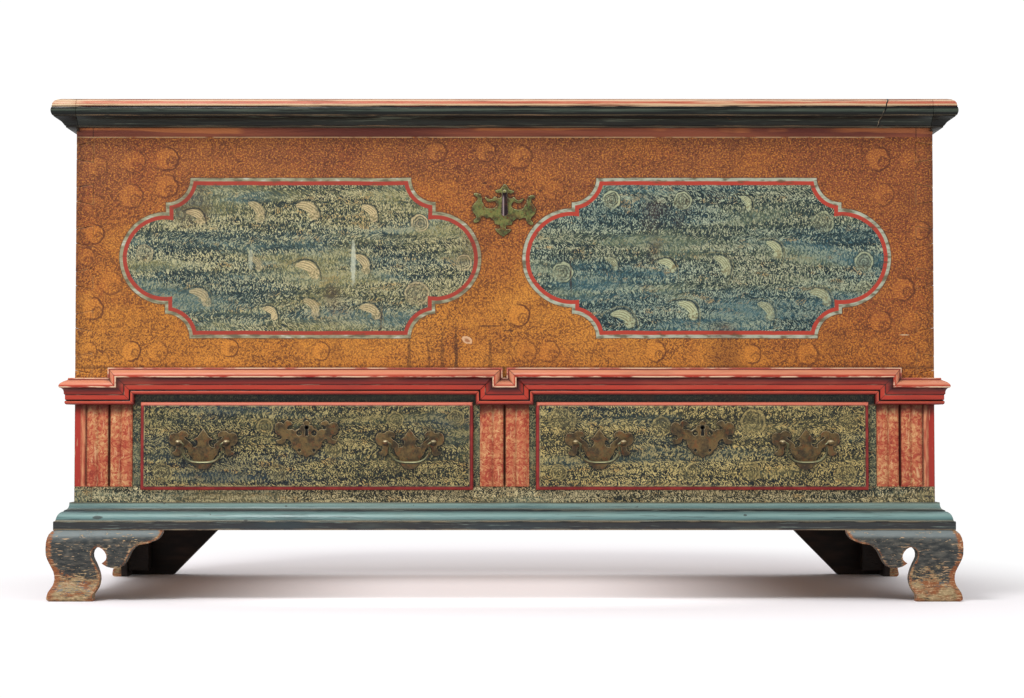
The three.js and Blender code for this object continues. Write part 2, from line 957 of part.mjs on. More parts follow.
// The half of a strap hinge that is nailed on, in its own plane: across, and away from the barrel
function strapOutline(length) {
  const half = scaled(strapShares, strapWidth / 2, length);
  return [...half, ...half.slice(0, -1).reverse().map(([x, along]) => [-x, along])];
}

// The lid, in a group whose origin is the axis of the hinge pins
function addLid(group) {
  const localBottom = lidBottom - pinZ;
  const localTop = lidTop - pinZ;
  const localFront = frontY - pinY;
  const localBack = backY - pinY;
  const boardEnd = battenInnerX - seatGap;

  const edge = lidEdgeOutline();
  const boardOutline = [
    ...edge.map(([out, up]) => [localFront - out, localBottom + up]),
    [localBack, localTop],
    [localBack, localBottom],
  ];
  const across = [-boardEnd, boardEnd].map((x) => (y, z) => [x, y, z]);
  piece(group, "lid_board", blackGreenPaint, sweep(boardOutline, across));

  const cove = lidMouldingOutline();
  const front = [[lidClearance, 0], ...cove, [lidClearance, -lidDrop]];
  const frontRun = [-boardEnd, boardEnd].map((x) => (out, z) => [x, localFront - out, localBottom + z]);
  piece(group, "lid_front_moulding", blackGreenPaint, sweep(front, frontRun));

  const section = [
    [-battenLap, lidThickness],
    ...edge.slice().reverse(),
    ...cove,
    [lidClearance, -lidDrop - battenHang],
    [lidClearance, 0],
    [-battenLap, 0],
  ];
  for (const [side, sign] of sides) {
    const run = [
      (out, z) => [sign * (halfCase + out), localBack, localBottom + z],
      (out, z) => [sign * (halfCase + out), localFront - out, localBottom + z],
      (out, z) => [sign * battenInnerX, localFront - out, localBottom + z],
    ];
    piece(group, `lid_batten_${side}`, blackGreenPaint, sweep(section, run));
  }

  // The keeper, whose tongue drops into the lock
  const keeperFront = localFront + frontThickness + lockPlateThickness;
  const tongueY = keeperFront + lockBoxDepth / 2;
  const keeperPlate = block(
    [-keeperWidth / 2, keeperWidth / 2],
    [keeperFront, keeperFront + keeperDepth],
    [localBottom - keeperThickness, localBottom],
  );
  const tongue = block(
    [-tongueWidth / 2, tongueWidth / 2],
    [tongueY - keeperThickness / 2, tongueY + keeperThickness / 2],
    [localBottom - tongueLength, localBottom - keeperThickness / 2],
  );
  piece(group, "lock_keeper", wroughtIron, join(keeperPlate, tongue));
}

// A strap hinge: the strap under the lid turns on the pin of the leaf nailed to the back
function addHinge(lid, group, side, x) {
  const third = (strapWidth - 2 * seatGap) / 3;
  const strapStations = [lidBottom - pinZ - strapThickness, lidBottom - pinZ].map(
    (z) => (across, along) => [x + across, backY - pinY - along, z],
  );
  const bore = rod("x", [x - strapWidth, x + strapWidth], pinRadius + seatGap, 16);
  const knuckle = rod("x", [x - third / 2, x + third / 2], knuckleRadius, 16);
  const web = block(
    [x - third / 2, x + third / 2],
    [backY - pinY - strapThickness, 0],
    [lidBottom - pinZ - strapThickness, lidBottom - pinZ],
  );
  const strap = join(sweep(strapOutline(strapLength), strapStations), knuckle, web);
  piece(lid, `hinge_strap_${side}`, wroughtIron, cut(strap, bore));

  const axis = [0, pinY, pinZ];
  const leafTop = pinZ - knuckleRadius - seatGap;
  const leafStations = [backY, backY + strapThickness].map(
    (y) => (across, along) => [x + across, y, leafTop - along],
  );
  const leafParts = [rod("x", [x - strapWidth / 2, x + strapWidth / 2], pinRadius, 12, axis)];
  for (const sign of [-1, 1]) {
    const ends = [x + sign * (third / 2 + seatGap), x + (sign * strapWidth) / 2].sort((a, b) => a - b);
    leafParts.push(rod("x", ends, knuckleRadius, 16, axis));
    leafParts.push(block(ends, [backY, backY + strapThickness], [leafTop - strapThickness, pinZ]));
  }
  const leaf = sweep(strapOutline(leafLength), leafStations);
  piece(group, `hinge_leaf_${side}`, wroughtIron, join(leaf, ...leafParts));
}

// The chest lock, nailed inside the front board
function addChestLock(group) {
  const inner = frontY + frontThickness;
  const top = caseTop - lockTopGap;
  const plateBack = block(
    [-lockPlateWidth / 2, lockPlateWidth / 2],
    [inner, inner + lockPlateThickness],
    [top - lockPlateHeight, top],
  );
  const box = block(
    [-lockBoxWidth / 2, lockBoxWidth / 2],
    [inner, inner + lockPlateThickness + lockBoxDepth],
    [top - lockPlateThickness - lockBoxHeight, top],
  );
  const slotY = inner + lockPlateThickness + lockBoxDepth / 2;
  const slot = block(
    [-tongueWidth / 2 - lockPlateThickness, tongueWidth / 2 + lockPlateThickness],
    [slotY - tongueSlot / 2, slotY + tongueSlot / 2],
    [top - tongueLength, top + overrun],
  );
  piece(group, "chest_lock", wroughtIron, cut(join(plateBack, box), slot));
}

// The pierced keyhole plate of the chest, and the cover that swings on its pin
function addChestKeyhole(group) {
  const place = new THREE.Group();
  place.position.set(0, frontY - seatGap, caseTop - lockKeyHeight);
  group.add(place);
  const outline = mirrored(scaled(chestPlateShares, chestPlateWidth / 2, chestPlateHeight));
  const pivotZ = coverPivotShare * chestPlateHeight;
  const faceY = -plateThickness;
  const pin = rod("y", [faceY - coverThickness - 2 * seatGap, 0], coverPinRadius, 12, [0, 0, pivotZ]);
  const head = rod(
    "y",
    [faceY - coverThickness - 2 * seatGap - coverPinRadius, faceY - coverThickness - 2 * seatGap],
    coverPinHead,
    12,
    [0, 0, pivotZ],
  );
  const bore = roundHole(0, 0, keyBoreRadius, 8);
  piece(place, "chest_escutcheon", greenBrass, join(plate(outline, plateThickness, [bore]), pin, head));

  const swing = new THREE.Group();
  swing.position.set(0, faceY - seatGap, pivotZ);
  place.add(swing);
  const drop = coverLength - coverTopRadius - coverFootRadius;
  const steps = 10;
  const teardrop = [];
  for (let i = 0; i <= steps; i++) {
    const angle = (Math.PI * i) / steps;
    teardrop.push([coverTopRadius * Math.cos(angle), coverTopRadius * Math.sin(angle)]);
  }
  for (let i = 0; i <= steps; i++) {
    const angle = Math.PI + (Math.PI * i) / steps;
    teardrop.push([coverFootRadius * Math.cos(angle), coverFootRadius * Math.sin(angle) - drop]);
  }
  const eye = roundHole(0, 0, coverPinRadius + seatGap, 12);
  piece(swing, "keyhole_cover", wroughtIron, plate(teardrop, coverThickness, [eye]));
}

// A keyhole: a round with a slot that widens towards its foot
function keyhole() {
  const hole = new THREE.Path();
  const steps = 10;
  const opening = Math.asin(keyholeNeck / 2 / keyholeRadius);
  for (let i = 0; i <= steps; i++) {
    const angle = -Math.PI / 2 + opening + ((2 * Math.PI - 2 * opening) * i) / steps;
    const x = keyholeRadius * Math.cos(angle);
    const z = keyholeRadius * Math.sin(angle);
    if (i === 0) hole.moveTo(x, z);
    else hole.lineTo(x, z);
  }
  hole.lineTo(-keyholeFoot / 2, -keyholeLength);
  hole.lineTo(keyholeFoot / 2, -keyholeLength);
  return hole;
}

// One drawer, in a group at the middle of its opening's foot, in the plane of the case front
function addDrawer(root, side, sign) {
  const name = `drawer_${side}`;
  const group = new THREE.Group();
  group.position.set(sign * drawerCentreX, frontY, openingBottom);
  root.add(group);

  const halfLip = openingWidth / 2 + lipOverlap;
  const halfBody = openingWidth / 2 - drawerClearance;
  const lipMiddle = openingHeight / 2;
  const halfLipHeight = lipMiddle + lipOverlap;
  const faceY = -seatGap - lipThickness;
  const rectangle = [
    [-1, -1],
    [1, -1],
    [1, 1],
    [-1, 1],
  ];
  const ring = (inset, y) => (a, b) => [
    a * (halfLip - inset),
    y,
    lipMiddle + b * (halfLipHeight - inset),
  ];
  const beadSteps = 5;
  const stations = [ring(0, -seatGap), ring(0, -seatGap - lipEdge)];
  const beadRise = lipThickness - lipEdge - lipStep;
  for (let i = 1; i <= beadSteps; i++) {
    const angle = (Math.PI / 2) * (i / beadSteps);
    const inset = lipBead * (1 - Math.cos(angle));
    stations.push(ring(inset, -seatGap - lipEdge - beadRise * Math.sin(angle)));
  }
  stations.push(ring(lipBead, faceY));
  const bodyTop = openingHeight - drawerClearance;
  const body = block([-halfBody, halfBody], [-seatGap - lipEdge, drawerFrontBody], [seatGap, bodyTop]);
  const sideLevels = [seatGap, drawerSideHeight];
  const through = [faceY - overrun, drawerFrontBody + overrun];
  const keyBore = rod("y", through, keyBoreRadius, 8, [0, 0, keyHeight]);
  const bottomLevels = [drawerBottomLift, drawerBottomLift + drawerBottomThickness];
  const groovedLevels = [bottomLevels[0] - seatGap, bottomLevels[1] + seatGap];
  const innerHalf = halfBody - drawerSideThickness;
  const bottomHalf = innerHalf + drawerGroove - seatGap;
  const bottomFront = drawerFrontBody - drawerGroove + seatGap;

  const frontGroove = block(
    [-bottomHalf - seatGap, bottomHalf + seatGap],
    [drawerFrontBody - drawerGroove, drawerFrontBody + overrun],
    groovedLevels,
  );
  const frontCuts = [keyBore, frontGroove];
  const backCuts = [];
  for (const [hand, way] of sides) {
    const outer = way * halfBody;
    const inner = way * innerHalf;
    const span = way > 0 ? [inner, outer] : [outer, inner];
    const cutSpan = way > 0 ? [inner, outer + overrun] : [outer - overrun, inner];
    const frontTails = [drawerFrontBody, drawerFrontBody - drawerTailLength];
    const frontSockets = [drawerFrontBody, frontTails[1] - seatGap];
    const rearTails = [drawerDepth - drawerSideThickness, drawerDepth];
    const backRoot = rearTails[0];
    frontCuts.push(...tails(drawerTails, sideLevels, frontSockets, cutSpan, true, seatGap));
    backCuts.push(...tails(drawerTails, sideLevels, rearTails, cutSpan, true, seatGap));
    const plank = block(span, [drawerFrontBody, backRoot], sideLevels);
    const tailed = join(
      plank,
      ...tails(drawerTails, sideLevels, frontTails, span, true),
      ...tails(drawerTails, sideLevels, rearTails, span, true),
    );
    const groove = block(
      way > 0 ? [inner - overrun, inner + drawerGroove] : [inner - drawerGroove, inner + overrun],
      [0, drawerDepth + overrun],
      groovedLevels,
    );
    piece(group, `${name}_side_${hand}`, bareWood, cut(tailed, groove));
  }
  piece(group, `${name}_front`, olivePaint, cut(join(sweep(rectangle, stations), body), ...frontCuts));
  const back = block(
    [-halfBody, halfBody],
    [drawerDepth - drawerSideThickness, drawerDepth],
    [groovedLevels[1], drawerSideHeight],
  );
  piece(group, `${name}_back`, bareWood, cut(back, ...backCuts));
  const bottom = block([-bottomHalf, bottomHalf], [bottomFront, drawerDepth], bottomLevels);
  piece(group, `${name}_bottom`, bareWood, bottom);

  // The lock inside the drawer front
  const lockTop = keyHeight + drawerLockHeight / 2;
  const lockFace = drawerFrontBody;
  const lockPlate = block(
    [-drawerLockWidth / 2, drawerLockWidth / 2],
    [lockFace, lockFace + drawerLockPlate],
    [lockTop - drawerLockHeight, lockTop],
  );
  const lockBox = block(
    [-drawerLockWidth / 2 + drawerLockFlange, drawerLockWidth / 2 - drawerLockFlange],
    [lockFace, lockFace + drawerLockDepth],
    [lockTop - drawerLockHeight, lockTop],
  );
  piece(group, `${name}_lock`, wroughtIron, join(lockPlate, lockBox));

  const keyPlace = new THREE.Group();
  keyPlace.position.set(0, faceY - seatGap, keyHeight);
  group.add(keyPlace);
  const keyPlate = mirrored(scaled(escutcheonShares, escutcheonWidth / 2, escutcheonHeight));
  const holes = [keyhole()];
  for (const way of [-1, 1]) {
    const [large] = scaled([piercingShares], (way * escutcheonWidth) / 2, escutcheonHeight);
    const [small] = scaled([smallPiercingShares], (way * escutcheonWidth) / 2, escutcheonHeight);
    holes.push(roundHole(...large, piercingRadius, 10));
    holes.push(roundHole(...small, smallPiercingRadius, 8));
  }
  piece(keyPlace, `${name}_escutcheon`, agedBrass, plate(keyPlate, plateThickness, holes));

  for (const [hand, way] of sides) {
    addPull(group, `${name}_pull_${hand}`, (way * pullSpread) / 2, faceY - seatGap);
  }
}

// A bail pull: a bat-wing plate with two ball-headed posts, and the bail that hangs in them
function addPull(drawer, name, x, faceY) {
  const group = new THREE.Group();
  group.position.set(x, faceY, pullHeight);
  drawer.add(group);
  const outline = mirrored(scaled(pullPlateShares, pullPlateWidth / 2, pullPlateHeight));
  const ballY = -plateThickness - postLength;
  const postProfile = [
    [0, 0],
    [rosetteRadius, 0],
    [rosetteRadius, -plateThickness - postRadius / 3],
    [postRadius, -plateThickness - postRadius],
    [postRadius, ballY + ballRadius * Math.cos(Math.PI / 6)],
  ];
  const ballSteps = 5;
  for (let i = 0; i <= ballSteps; i++) {
    const angle = Math.PI / 4 + ((Math.PI * 3) / 4) * (i / ballSteps);
    const radius = i === ballSteps ? 0 : ballRadius * Math.sin(angle);
    postProfile.push([radius, ballY + ballRadius * Math.cos(angle)]);
  }
  const posts = [];
  const sockets = [];
  for (const way of [-1, 1]) {
    const postX = (way * postSpacing) / 2;
    posts.push(turned(postProfile, 10).translate(postX, 0, 0));
    const ends = [postX + way * (bailPinReach - ballRadius), postX - way * (ballRadius + overrun)];
    sockets.push(rod("x", ends, bailPinRadius + seatGap, 8, [0, ballY, 0]));
  }
  const whole = join(plate(outline, plateThickness), ...posts);
  piece(group, `${name}_plate`, agedBrass, cut(whole, ...sockets));

  const swing = new THREE.Group();
  swing.position.set(0, ballY, 0);
  group.add(swing);
  piece(swing, `${name}_bail`, agedBrass, bail());
}

// The bail: pins at its ends, arms that swell and a rounded grip, all in the XZ plane
function bail() {
  const ballInner = postSpacing / 2 - ballRadius;
  const elbow = ballInner - bailRadius - seatGap;
  const pinEnd = ballInner + bailPinReach - 2 * seatGap;
  const right = [
    [pinEnd, 0],
    [ballInner, 0],
    [elbow, -bailPinRadius],
    ...scaled(bailShares, bailHalfWidth, bailDrop),
  ];
  const line = [...right, ...right.slice(0, -1).reverse().map(([x, z]) => [-x, z])];
  const curve = new THREE.CatmullRomCurve3(
    line.map(([x, z]) => new THREE.Vector3(x, 0, z)),
    false,
    "centripetal",
  );
  const steps = 32;
  const stations = [];
  for (let i = 0; i <= steps; i++) {
    const share = i / steps;
    const point = curve.getPointAt(share);
    const along = curve.getTangentAt(share);
    const inPin = Math.abs(point.x) > elbow;
    const radius = inPin ? bailPinRadius : bailRadius;
    stations.push((a, b) => [point.x - a * radius * along.z, b * radius, point.z + a * radius * along.x]);
  }
  const ring = [];
  const ringSides = 8;
  for (let i = 0; i < ringSides; i++) {
    const angle = (2 * Math.PI * i) / ringSides;
    ring.push([Math.cos(angle), Math.sin(angle)]);
  }
  return sweep(ring, stations);
}

const chest = new THREE.Group();
addCase(chest);
addPilasters(chest);
addWaistMoulding(chest);
addBaseMoulding(chest);
addFeet(chest);
addChestLock(chest);
addChestKeyhole(chest);

const lid = new THREE.Group();
lid.position.set(0, pinY, pinZ);
chest.add(lid);
addLid(lid);
for (const [side, sign] of sides) {
  addHinge(lid, chest, side, (sign * hingeSpread) / 2);
  addDrawer(chest, side, sign);
}

export default chest;
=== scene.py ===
import json
import math
import random

import bmesh
import bpy
from mathutils import Matrix, Vector


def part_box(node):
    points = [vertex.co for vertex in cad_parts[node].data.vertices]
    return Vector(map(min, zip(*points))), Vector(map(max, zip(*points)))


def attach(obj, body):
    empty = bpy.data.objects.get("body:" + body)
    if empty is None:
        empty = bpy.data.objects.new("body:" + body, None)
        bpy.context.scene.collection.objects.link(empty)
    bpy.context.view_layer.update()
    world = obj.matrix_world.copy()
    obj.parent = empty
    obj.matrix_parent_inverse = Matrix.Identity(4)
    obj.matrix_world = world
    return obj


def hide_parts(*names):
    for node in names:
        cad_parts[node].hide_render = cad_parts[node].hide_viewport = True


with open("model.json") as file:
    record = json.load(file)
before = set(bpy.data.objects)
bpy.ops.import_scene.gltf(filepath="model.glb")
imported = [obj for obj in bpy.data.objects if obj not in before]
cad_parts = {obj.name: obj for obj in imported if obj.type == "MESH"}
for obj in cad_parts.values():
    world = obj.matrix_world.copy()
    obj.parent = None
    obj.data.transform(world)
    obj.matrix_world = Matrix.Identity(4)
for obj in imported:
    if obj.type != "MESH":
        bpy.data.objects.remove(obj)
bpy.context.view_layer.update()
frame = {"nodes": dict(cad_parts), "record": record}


# Unpainted boards: the back, the floors and the drawer boxes are softwood, sawn and planed by hand,
# dovetailed or nailed, and never painted. They have darkened with age and dust.

class Value:
    """A number or colour on its way through a finish. Arithmetic on a number adds its Math nodes."""

    def __init__(self, finish, socket):
        self.finish = finish
        self.socket = socket

    def math(self, operation, *others):
        return self.finish.node("ShaderNodeMath", {"operation": operation}, (self, *others))

    def __add__(self, other):
        return self.math("ADD", other)

    def __radd__(self, other):
        return self.math("ADD", other)

    def __sub__(self, other):
        return self.math("SUBTRACT", other)

    def __rsub__(self, other):
        return self.finish.node("ShaderNodeMath", {"operation": "SUBTRACT"}, (other, self))

    def __mul__(self, other):
        return self.math("MULTIPLY", other)

    def __rmul__(self, other):
        return self.math("MULTIPLY", other)

    def __truediv__(self, other):
        return self.math("DIVIDE", other)

    def __abs__(self):
        return self.math("ABSOLUTE")

    def root(self):
        return self.math("SQRT")

    def away(self, other):
        """How far off a place is that lies this far across and that far up."""
        return (self * self + other * other).root()

    def higher(self, other):
        return self.math("MAXIMUM", other)

    def lower(self, other):
        return self.math("MINIMUM", other)

    def wave(self):
        """A sine of the number, in turns, between 0 and 1."""
        return (self * math.tau).math("SINE") * 0.5 + 0.5

    def near(self, middle, reach):
        """1 where the number is at the middle, fading to 0 that far from it."""
        return abs(self - middle).rise(reach, reach * 0.4)

    def rise(self, low, high):
        """Goes smoothly from 0 at low to 1 at high, or down again where low is the higher one."""
        sockets = {"Value": self, "From Min": low, "From Max": high}
        return self.finish.node("ShaderNodeMapRange", {"interpolation_type": "SMOOTHSTEP"}, sockets)


class Finish:
    """A paint or a bare surface: one material of nodes, made in the frame's own metres."""

    def __init__(self, name):
        self.material = bpy.data.materials.new(name)
        self.material.use_nodes = True
        self.tree = self.material.node_tree
        self.tree.nodes.clear()
        self.place = self.node("ShaderNodeTexCoord", output="Object")
        self.x, self.y, self.z = self.parts(self.place)
        self.facing = self.parts(self.node("ShaderNodeTexCoord", output="Normal"))

    def node(self, kind, settings=None, sockets=(), output=0):
        made = self.tree.nodes.new(kind)
        settings = dict(settings or {})
        stops = settings.pop("stops", ())
        for name, value in settings.items():
            setattr(made, name, value)
        for index, (where, colour) in enumerate(stops):
            ramp = made.color_ramp.elements
            stop = ramp[index] if index < 2 else ramp.new(where)
            stop.position = where
            stop.color = colour
        pairs = sockets.items() if isinstance(sockets, dict) else enumerate(sockets)
        for key, value in pairs:
            if isinstance(value, Value):
                self.tree.links.new(value.socket, made.inputs[key])
            else:
                made.inputs[key].default_value = value
        return Value(self, made.outputs[output])

    def parts(self, vector):
        split = self.node("ShaderNodeSeparateXYZ", None, (vector,))
        return [Value(self, socket) for socket in split.socket.node.outputs]

    def vectors(self, operation, *values):
        return self.node("ShaderNodeVectorMath", {"operation": operation}, values)

    def noise(self, size, stretch=(1, 1, 1), detail=2.0, roughness=0.5, twist=0.0, output=0):
        """Cloudy variation about 0.5 in patches of that size, in metres, drawn out along each axis."""
        across, deep, up = stretch
        drawn = self.vectors("MULTIPLY", self.place, (1 / across, 1 / deep, 1 / up))
        sockets = {
            "Vector": drawn,
            "Scale": 1 / size,
            "Detail": detail,
            "Roughness": roughness,
            "Distortion": twist,
        }
        return self.node("ShaderNodeTexNoise", None, sockets, output)

    def wander(self, amount, size, stretch=(1, 1, 1), detail=2.0):
        """Noise that strays to both sides of 0, over that amount in all."""
        return (self.noise(size, stretch, detail) - 0.5) * amount

    def stirred(self, size, amount):
        """The place, pushed about by up to that amount in swirls of that size."""
        swirl = self.vectors("SUBTRACT", self.noise(size, output="Color"), (0.5, 0.5, 0.5))
        reach = (amount * 2, amount * 2, amount * 2)
        return self.vectors("ADD", self.place, self.vectors("MULTIPLY", swirl, reach))

    def blend(self, mask, first, second):
        settings = {"data_type": "RGBA", "blend_type": "MIX"}
        return self.node("ShaderNodeMix", settings, {0: mask, 6: first, 7: second}, 2)

    def lay(self, colour, *coats):
        """Lays each coat over the colour in turn, where and as strongly as its mask says."""
        for mask, coat in coats:
            colour = self.blend(mask, colour, coat)
        return colour

    def ramp(self, value, *stops):
        """Runs through colours of the card. Each stop is a number, then red, green and blue."""
        stops = [(where, tint(*card)) for where, *card in stops]
        return self.node("ShaderNodeValToRGB", {"stops": stops}, (value,))

    def arris(self, reach, low=0.12, high=0.4):
        """1 on the outer edges of a piece, fading out that far from them."""
        settings = {"samples": 8, "only_local": True, "inside": True}
        solid_share = self.node("ShaderNodeAmbientOcclusion", settings, {"Distance": reach}, "AO")
        return (1 - solid_share).rise(low, high)

    def hollow(self, reach, low, high, alone=True):
        """1 deep in grooves and corners, where other faces of the piece, or of any, stand that close."""
        settings = {"samples": 8, "only_local": alone}
        open_share = self.node("ShaderNodeAmbientOcclusion", settings, {"Distance": reach}, "AO")
        return (1 - open_share).rise(low, high)

    def coat(self, colour, roughness, relief=None, depth=0.001, metallic=0.0, gloss=0.3, glow=None):
        """Finishes the material: its colour, how matt it is, and its relief, that many metres deep."""
        sockets = {
            "Base Color": colour,
            "Roughness": roughness,
            "Metallic": metallic,
            "Specular IOR Level": gloss,
        }
        if glow is not None:
            sockets |= {"Emission Color": glow, "Emission Strength": 1.02}
        if relief is not None:
            bump = {"Height": relief, "Distance": depth, "Strength": 1.0}
            sockets["Normal"] = self.node("ShaderNodeBump", None, bump)
        skin = self.node("ShaderNodeBsdfPrincipled", None, sockets)
        out = self.tree.nodes.new("ShaderNodeOutputMaterial")
        self.tree.links.new(skin.socket, out.inputs["Surface"])
        return self.material


def tint(red, green, blue):
    """A colour read off a colour card, 0 to 255, as the linear light that a finish takes."""
    parts = (red, green, blue)
    return tuple(
        part / 255 / 12.92 if part <= 10 else ((part / 255 + 0.055) / 1.055) ** 2.4 for part in parts
    ) + (1.0,)


def bare_softwood(name, grain):
    """Planed softwood whose grain runs along the longest side of that stretch."""
    wood = Finish(name)
    bands = wood.noise(0.012, grain, detail=4.0, roughness=0.6, twist=0.8)
    pores = wood.noise(0.0022, grain, detail=2.0)
    dust = wood.noise(0.14, detail=3.0)
    darker = (dust - 0.5) * 0.35
    colour = wood.ramp(bands + darker, (0.25, 98, 68, 42), (0.5, 142, 104, 66), (0.75, 166, 128, 86))
    colour = wood.blend(pores.rise(0.58, 0.72) * 0.5, colour, tint(70, 46, 28))
    return wood.coat(colour, dust * 0.2 + 0.6, bands * 0.5 + pores, 0.0006, gloss=0.3)


softwood_along = bare_softwood("bare_softwood_along", (14, 1, 1))
softwood_deep = bare_softwood("bare_softwood_deep", (1, 14, 1))


def repaint(node, material):
    """A case piece keeps its own mesh and only takes a finish."""
    mesh = frame["nodes"][node].data
    mesh.materials.clear()
    mesh.materials.append(material)


for board in ("back_board", "chest_floor", "bottom_board"):
    repaint(board, softwood_along)


# The painted boards of the chest: a front board dovetailed between two ends. The ground is an ochre
# glaze over a red-brown coat, dabbed while wet into rows of curls and fan-shaped prints. The front
# carries two lobed panels of blue and olive, ruled round in red and grey.

# The panels: the middle of the left and of the right one, their level, half their straight sides,
# the notch at each corner, the lobes of the left and of the right one, and where each rule ends
panel_middle = (0.2955, 0.2925)
panel_level = 0.493
panel_half = (0.195, 0.116)
panel_notch = 0.0355
panel_lobe = (0.0665, 0.0715)
rule_grey = 0.0047
rule_red = 0.0104
end_skin, front_skin = 0.6199, -0.257

# Prints on the front, in mm from the middle of the floor line: across, up, radius
front_rings = [
    (-591, 626, 17), (-537, 633, 19), (-490, 637, 20), (-436, 652, 15), (-490, 597, 19),
    (-542, 583, 20), (-594, 569, 18), (-594, 528, 16), (-606, 495, 15), (-570, 457, 19),
    (-596, 420, 18), (-533, 405, 20), (-99, 647, 17), (-28, 647, 17), (-80, 595, 16),
    (-540, 358, 16), (-602, 358, 15), (-502, 358, 17), (-398, 363, 15), (-335, 358, 16),
    (-266, 358, 15), (23, 640, 19), (72, 592, 17), (541, 637, 20), (586, 635, 17),
    (548, 585, 18), (602, 533, 15), (567, 491, 18), (576, 448, 19), (543, 401, 18),
    (588, 401, 16), (20, 410, 18), (30, 358, 18), (63, 358, 18), (218, 358, 17),
    (289, 356, 17), (357, 354, 15), (437, 354, 18), (581, 354, 18),
]
front_shells = [
    (-445, 557, 13), (-356, 564, 15), (-283, 567, 16), (-193, 562, 13), (-358, 488, 11),
    (-283, 481, 16), (-203, 488, 14), (-438, 441, 15), (-337, 417, 11), (-276, 424, 14),
    (-193, 420, 14), (393, 509, 13), (157, 488, 10), (237, 486, 12), (319, 486, 14),
    (459, 441, 15), (268, 422, 15), (381, 420, 14), (173, 410, 16), (352, 576, 10),
]
front_whorls = [
    (-521, 500, 14), (-123, 543, 14), (-59, 486, 13), (-127, 441, 19), (155, 578, 14),
    (461, 545, 17), (520, 488, 15), (84, 472, 16), (520, 448, 13), (258, 576, 14),
]


def eased(node, finish, rounding=0.0009, steps=2, prints=(), side_prints=(), cell=None):
    """A copy of a case piece with its sharp edges eased, as planing and wear leave them. Each face
    takes the nearest print, stored as the place seen from the middle of that print."""
    weld, flat, corner, crease = 0.00002, math.radians(1), math.radians(35), math.radians(40)
    shape = bmesh.new()
    shape.from_mesh(frame["nodes"][node].data)
    bmesh.ops.remove_doubles(shape, verts=shape.verts, dist=weld)
    bmesh.ops.dissolve_limit(shape, angle_limit=flat, verts=shape.verts, edges=shape.edges)
    if rounding:
        sharp = [e for e in shape.edges if e.is_manifold and e.calc_face_angle() > corner]
        bmesh.ops.bevel(
            shape,
            geom=sharp,
            offset=rounding,
            offset_type="OFFSET",
            affect="EDGES",
            segments=steps,
            profile=0.5,
            material=-1,
            clamp_overlap=True,
        )
    if cell:
        low, high = (Vector(corner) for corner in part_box(node))
        for axis in (0, 1, 2):
            normal = Vector((axis == 0, axis == 1, axis == 2))
            for step in range(1, int((high[axis] - low[axis]) / cell) + 1):
                point = low + normal * step * cell
                everything = [*shape.verts, *shape.edges, *shape.faces]
                bmesh.ops.bisect_plane(shape, geom=everything, plane_co=point, plane_no=normal)
    if prints:
        to_mm = 1000
        layer = shape.loops.layers.float_vector.new("print")
        for face in shape.faces:
            middle = face.calc_center_median() * to_mm
            on_side = abs(face.normal.x) > 0.7
            choice, axis = (side_prints, 1) if on_side else (prints, 0)
            if not choice:
                continue
            gaps = [math.hypot(across - middle[axis], up - middle.z) for across, up, *_ in choice]
            nearest = gaps.index(min(gaps))
            across, up, radius, sort = choice[nearest]
            turn = Matrix.Rotation(math.sin(nearest * 2.4) * 0.25, 2)
            strength = 0.05 + 0.4 * abs(math.sin(nearest * 5.1 + 0.6))
            for loop in face.loops:
                place = loop.vert.co * to_mm
                seen = turn @ Vector((place[axis] - across, place.z - up)) / radius
                loop[layer] = (*seen, sort + strength)
    mesh = bpy.data.meshes.new(node + "_eased")
    shape.to_mesh(mesh)
    shape.free()
    mesh.polygons.foreach_set("use_smooth", [True] * len(mesh.polygons))
    mesh.set_sharp_from_angle(angle=crease)
    mesh.materials.append(finish)
    piece = bpy.data.objects.new(node + "_eased", mesh)
    bpy.context.scene.collection.objects.link(piece)
    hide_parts(node)
    record = frame["record"]
    body = next(name for name, nodes in record["behaviour"]["bodies"].items() if node in nodes)
    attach(piece, body)
    return piece


class Dabs:
    """Rows of short bowed strokes, as a twisted pad leaves them in wet glaze: a number of its own
    for each stroke, how light its row is there, the thin dark lines between strokes, and the curls."""

    def __init__(self, paint, pitch, width=0.0013, length=0.0036):
        row = paint.z / pitch + paint.wander(3, 0.13, (1.8, 1, 1))
        number = {"W": row.math("FLOOR")}
        chance = paint.node("ShaderNodeTexWhiteNoise", {"noise_dimensions": "1D"}, number)
        across = (row.math("FRACT") - 0.5) * 2
        self.row = 1 - across * across + chance * 0.5
        self.bold = chance * 0.35 + 0.75
        bow = {"X": across * across * (chance - 0.5) * pitch}
        bow = paint.node("ShaderNodeCombineXYZ", None, bow)
        bowed = paint.vectors("ADD", paint.stirred(0.0085, 0.0034), bow)
        lean = {"Vector": bowed, "Angle": chance * 1.8 - 0.9}
        turned = paint.node("ShaderNodeVectorRotate", {"rotation_type": "Y_AXIS"}, lean)
        place = paint.vectors("MULTIPLY", turned, (1 / width, 1 / width, 1 / length))
        cells = {"Vector": place, "Scale": 1.0}
        strokes = paint.node("ShaderNodeTexVoronoi", {"feature": "F1"}, cells, "Color")
        edges = paint.node("ShaderNodeTexVoronoi", {"feature": "DISTANCE_TO_EDGE"}, cells, "Distance")
        self.own, self.other, _ = paint.parts(strokes)
        self.gap = edges.rise(0.17, 0.05)
        rings = {"Vector": paint.vectors("MULTIPLY", bowed, (120, 120, 1.2 / pitch)), "Scale": 1.0}
        reach = paint.node("ShaderNodeTexVoronoi", {"feature": "F1"}, rings, "Distance")
        self.curl = (reach * 3.6).wave()


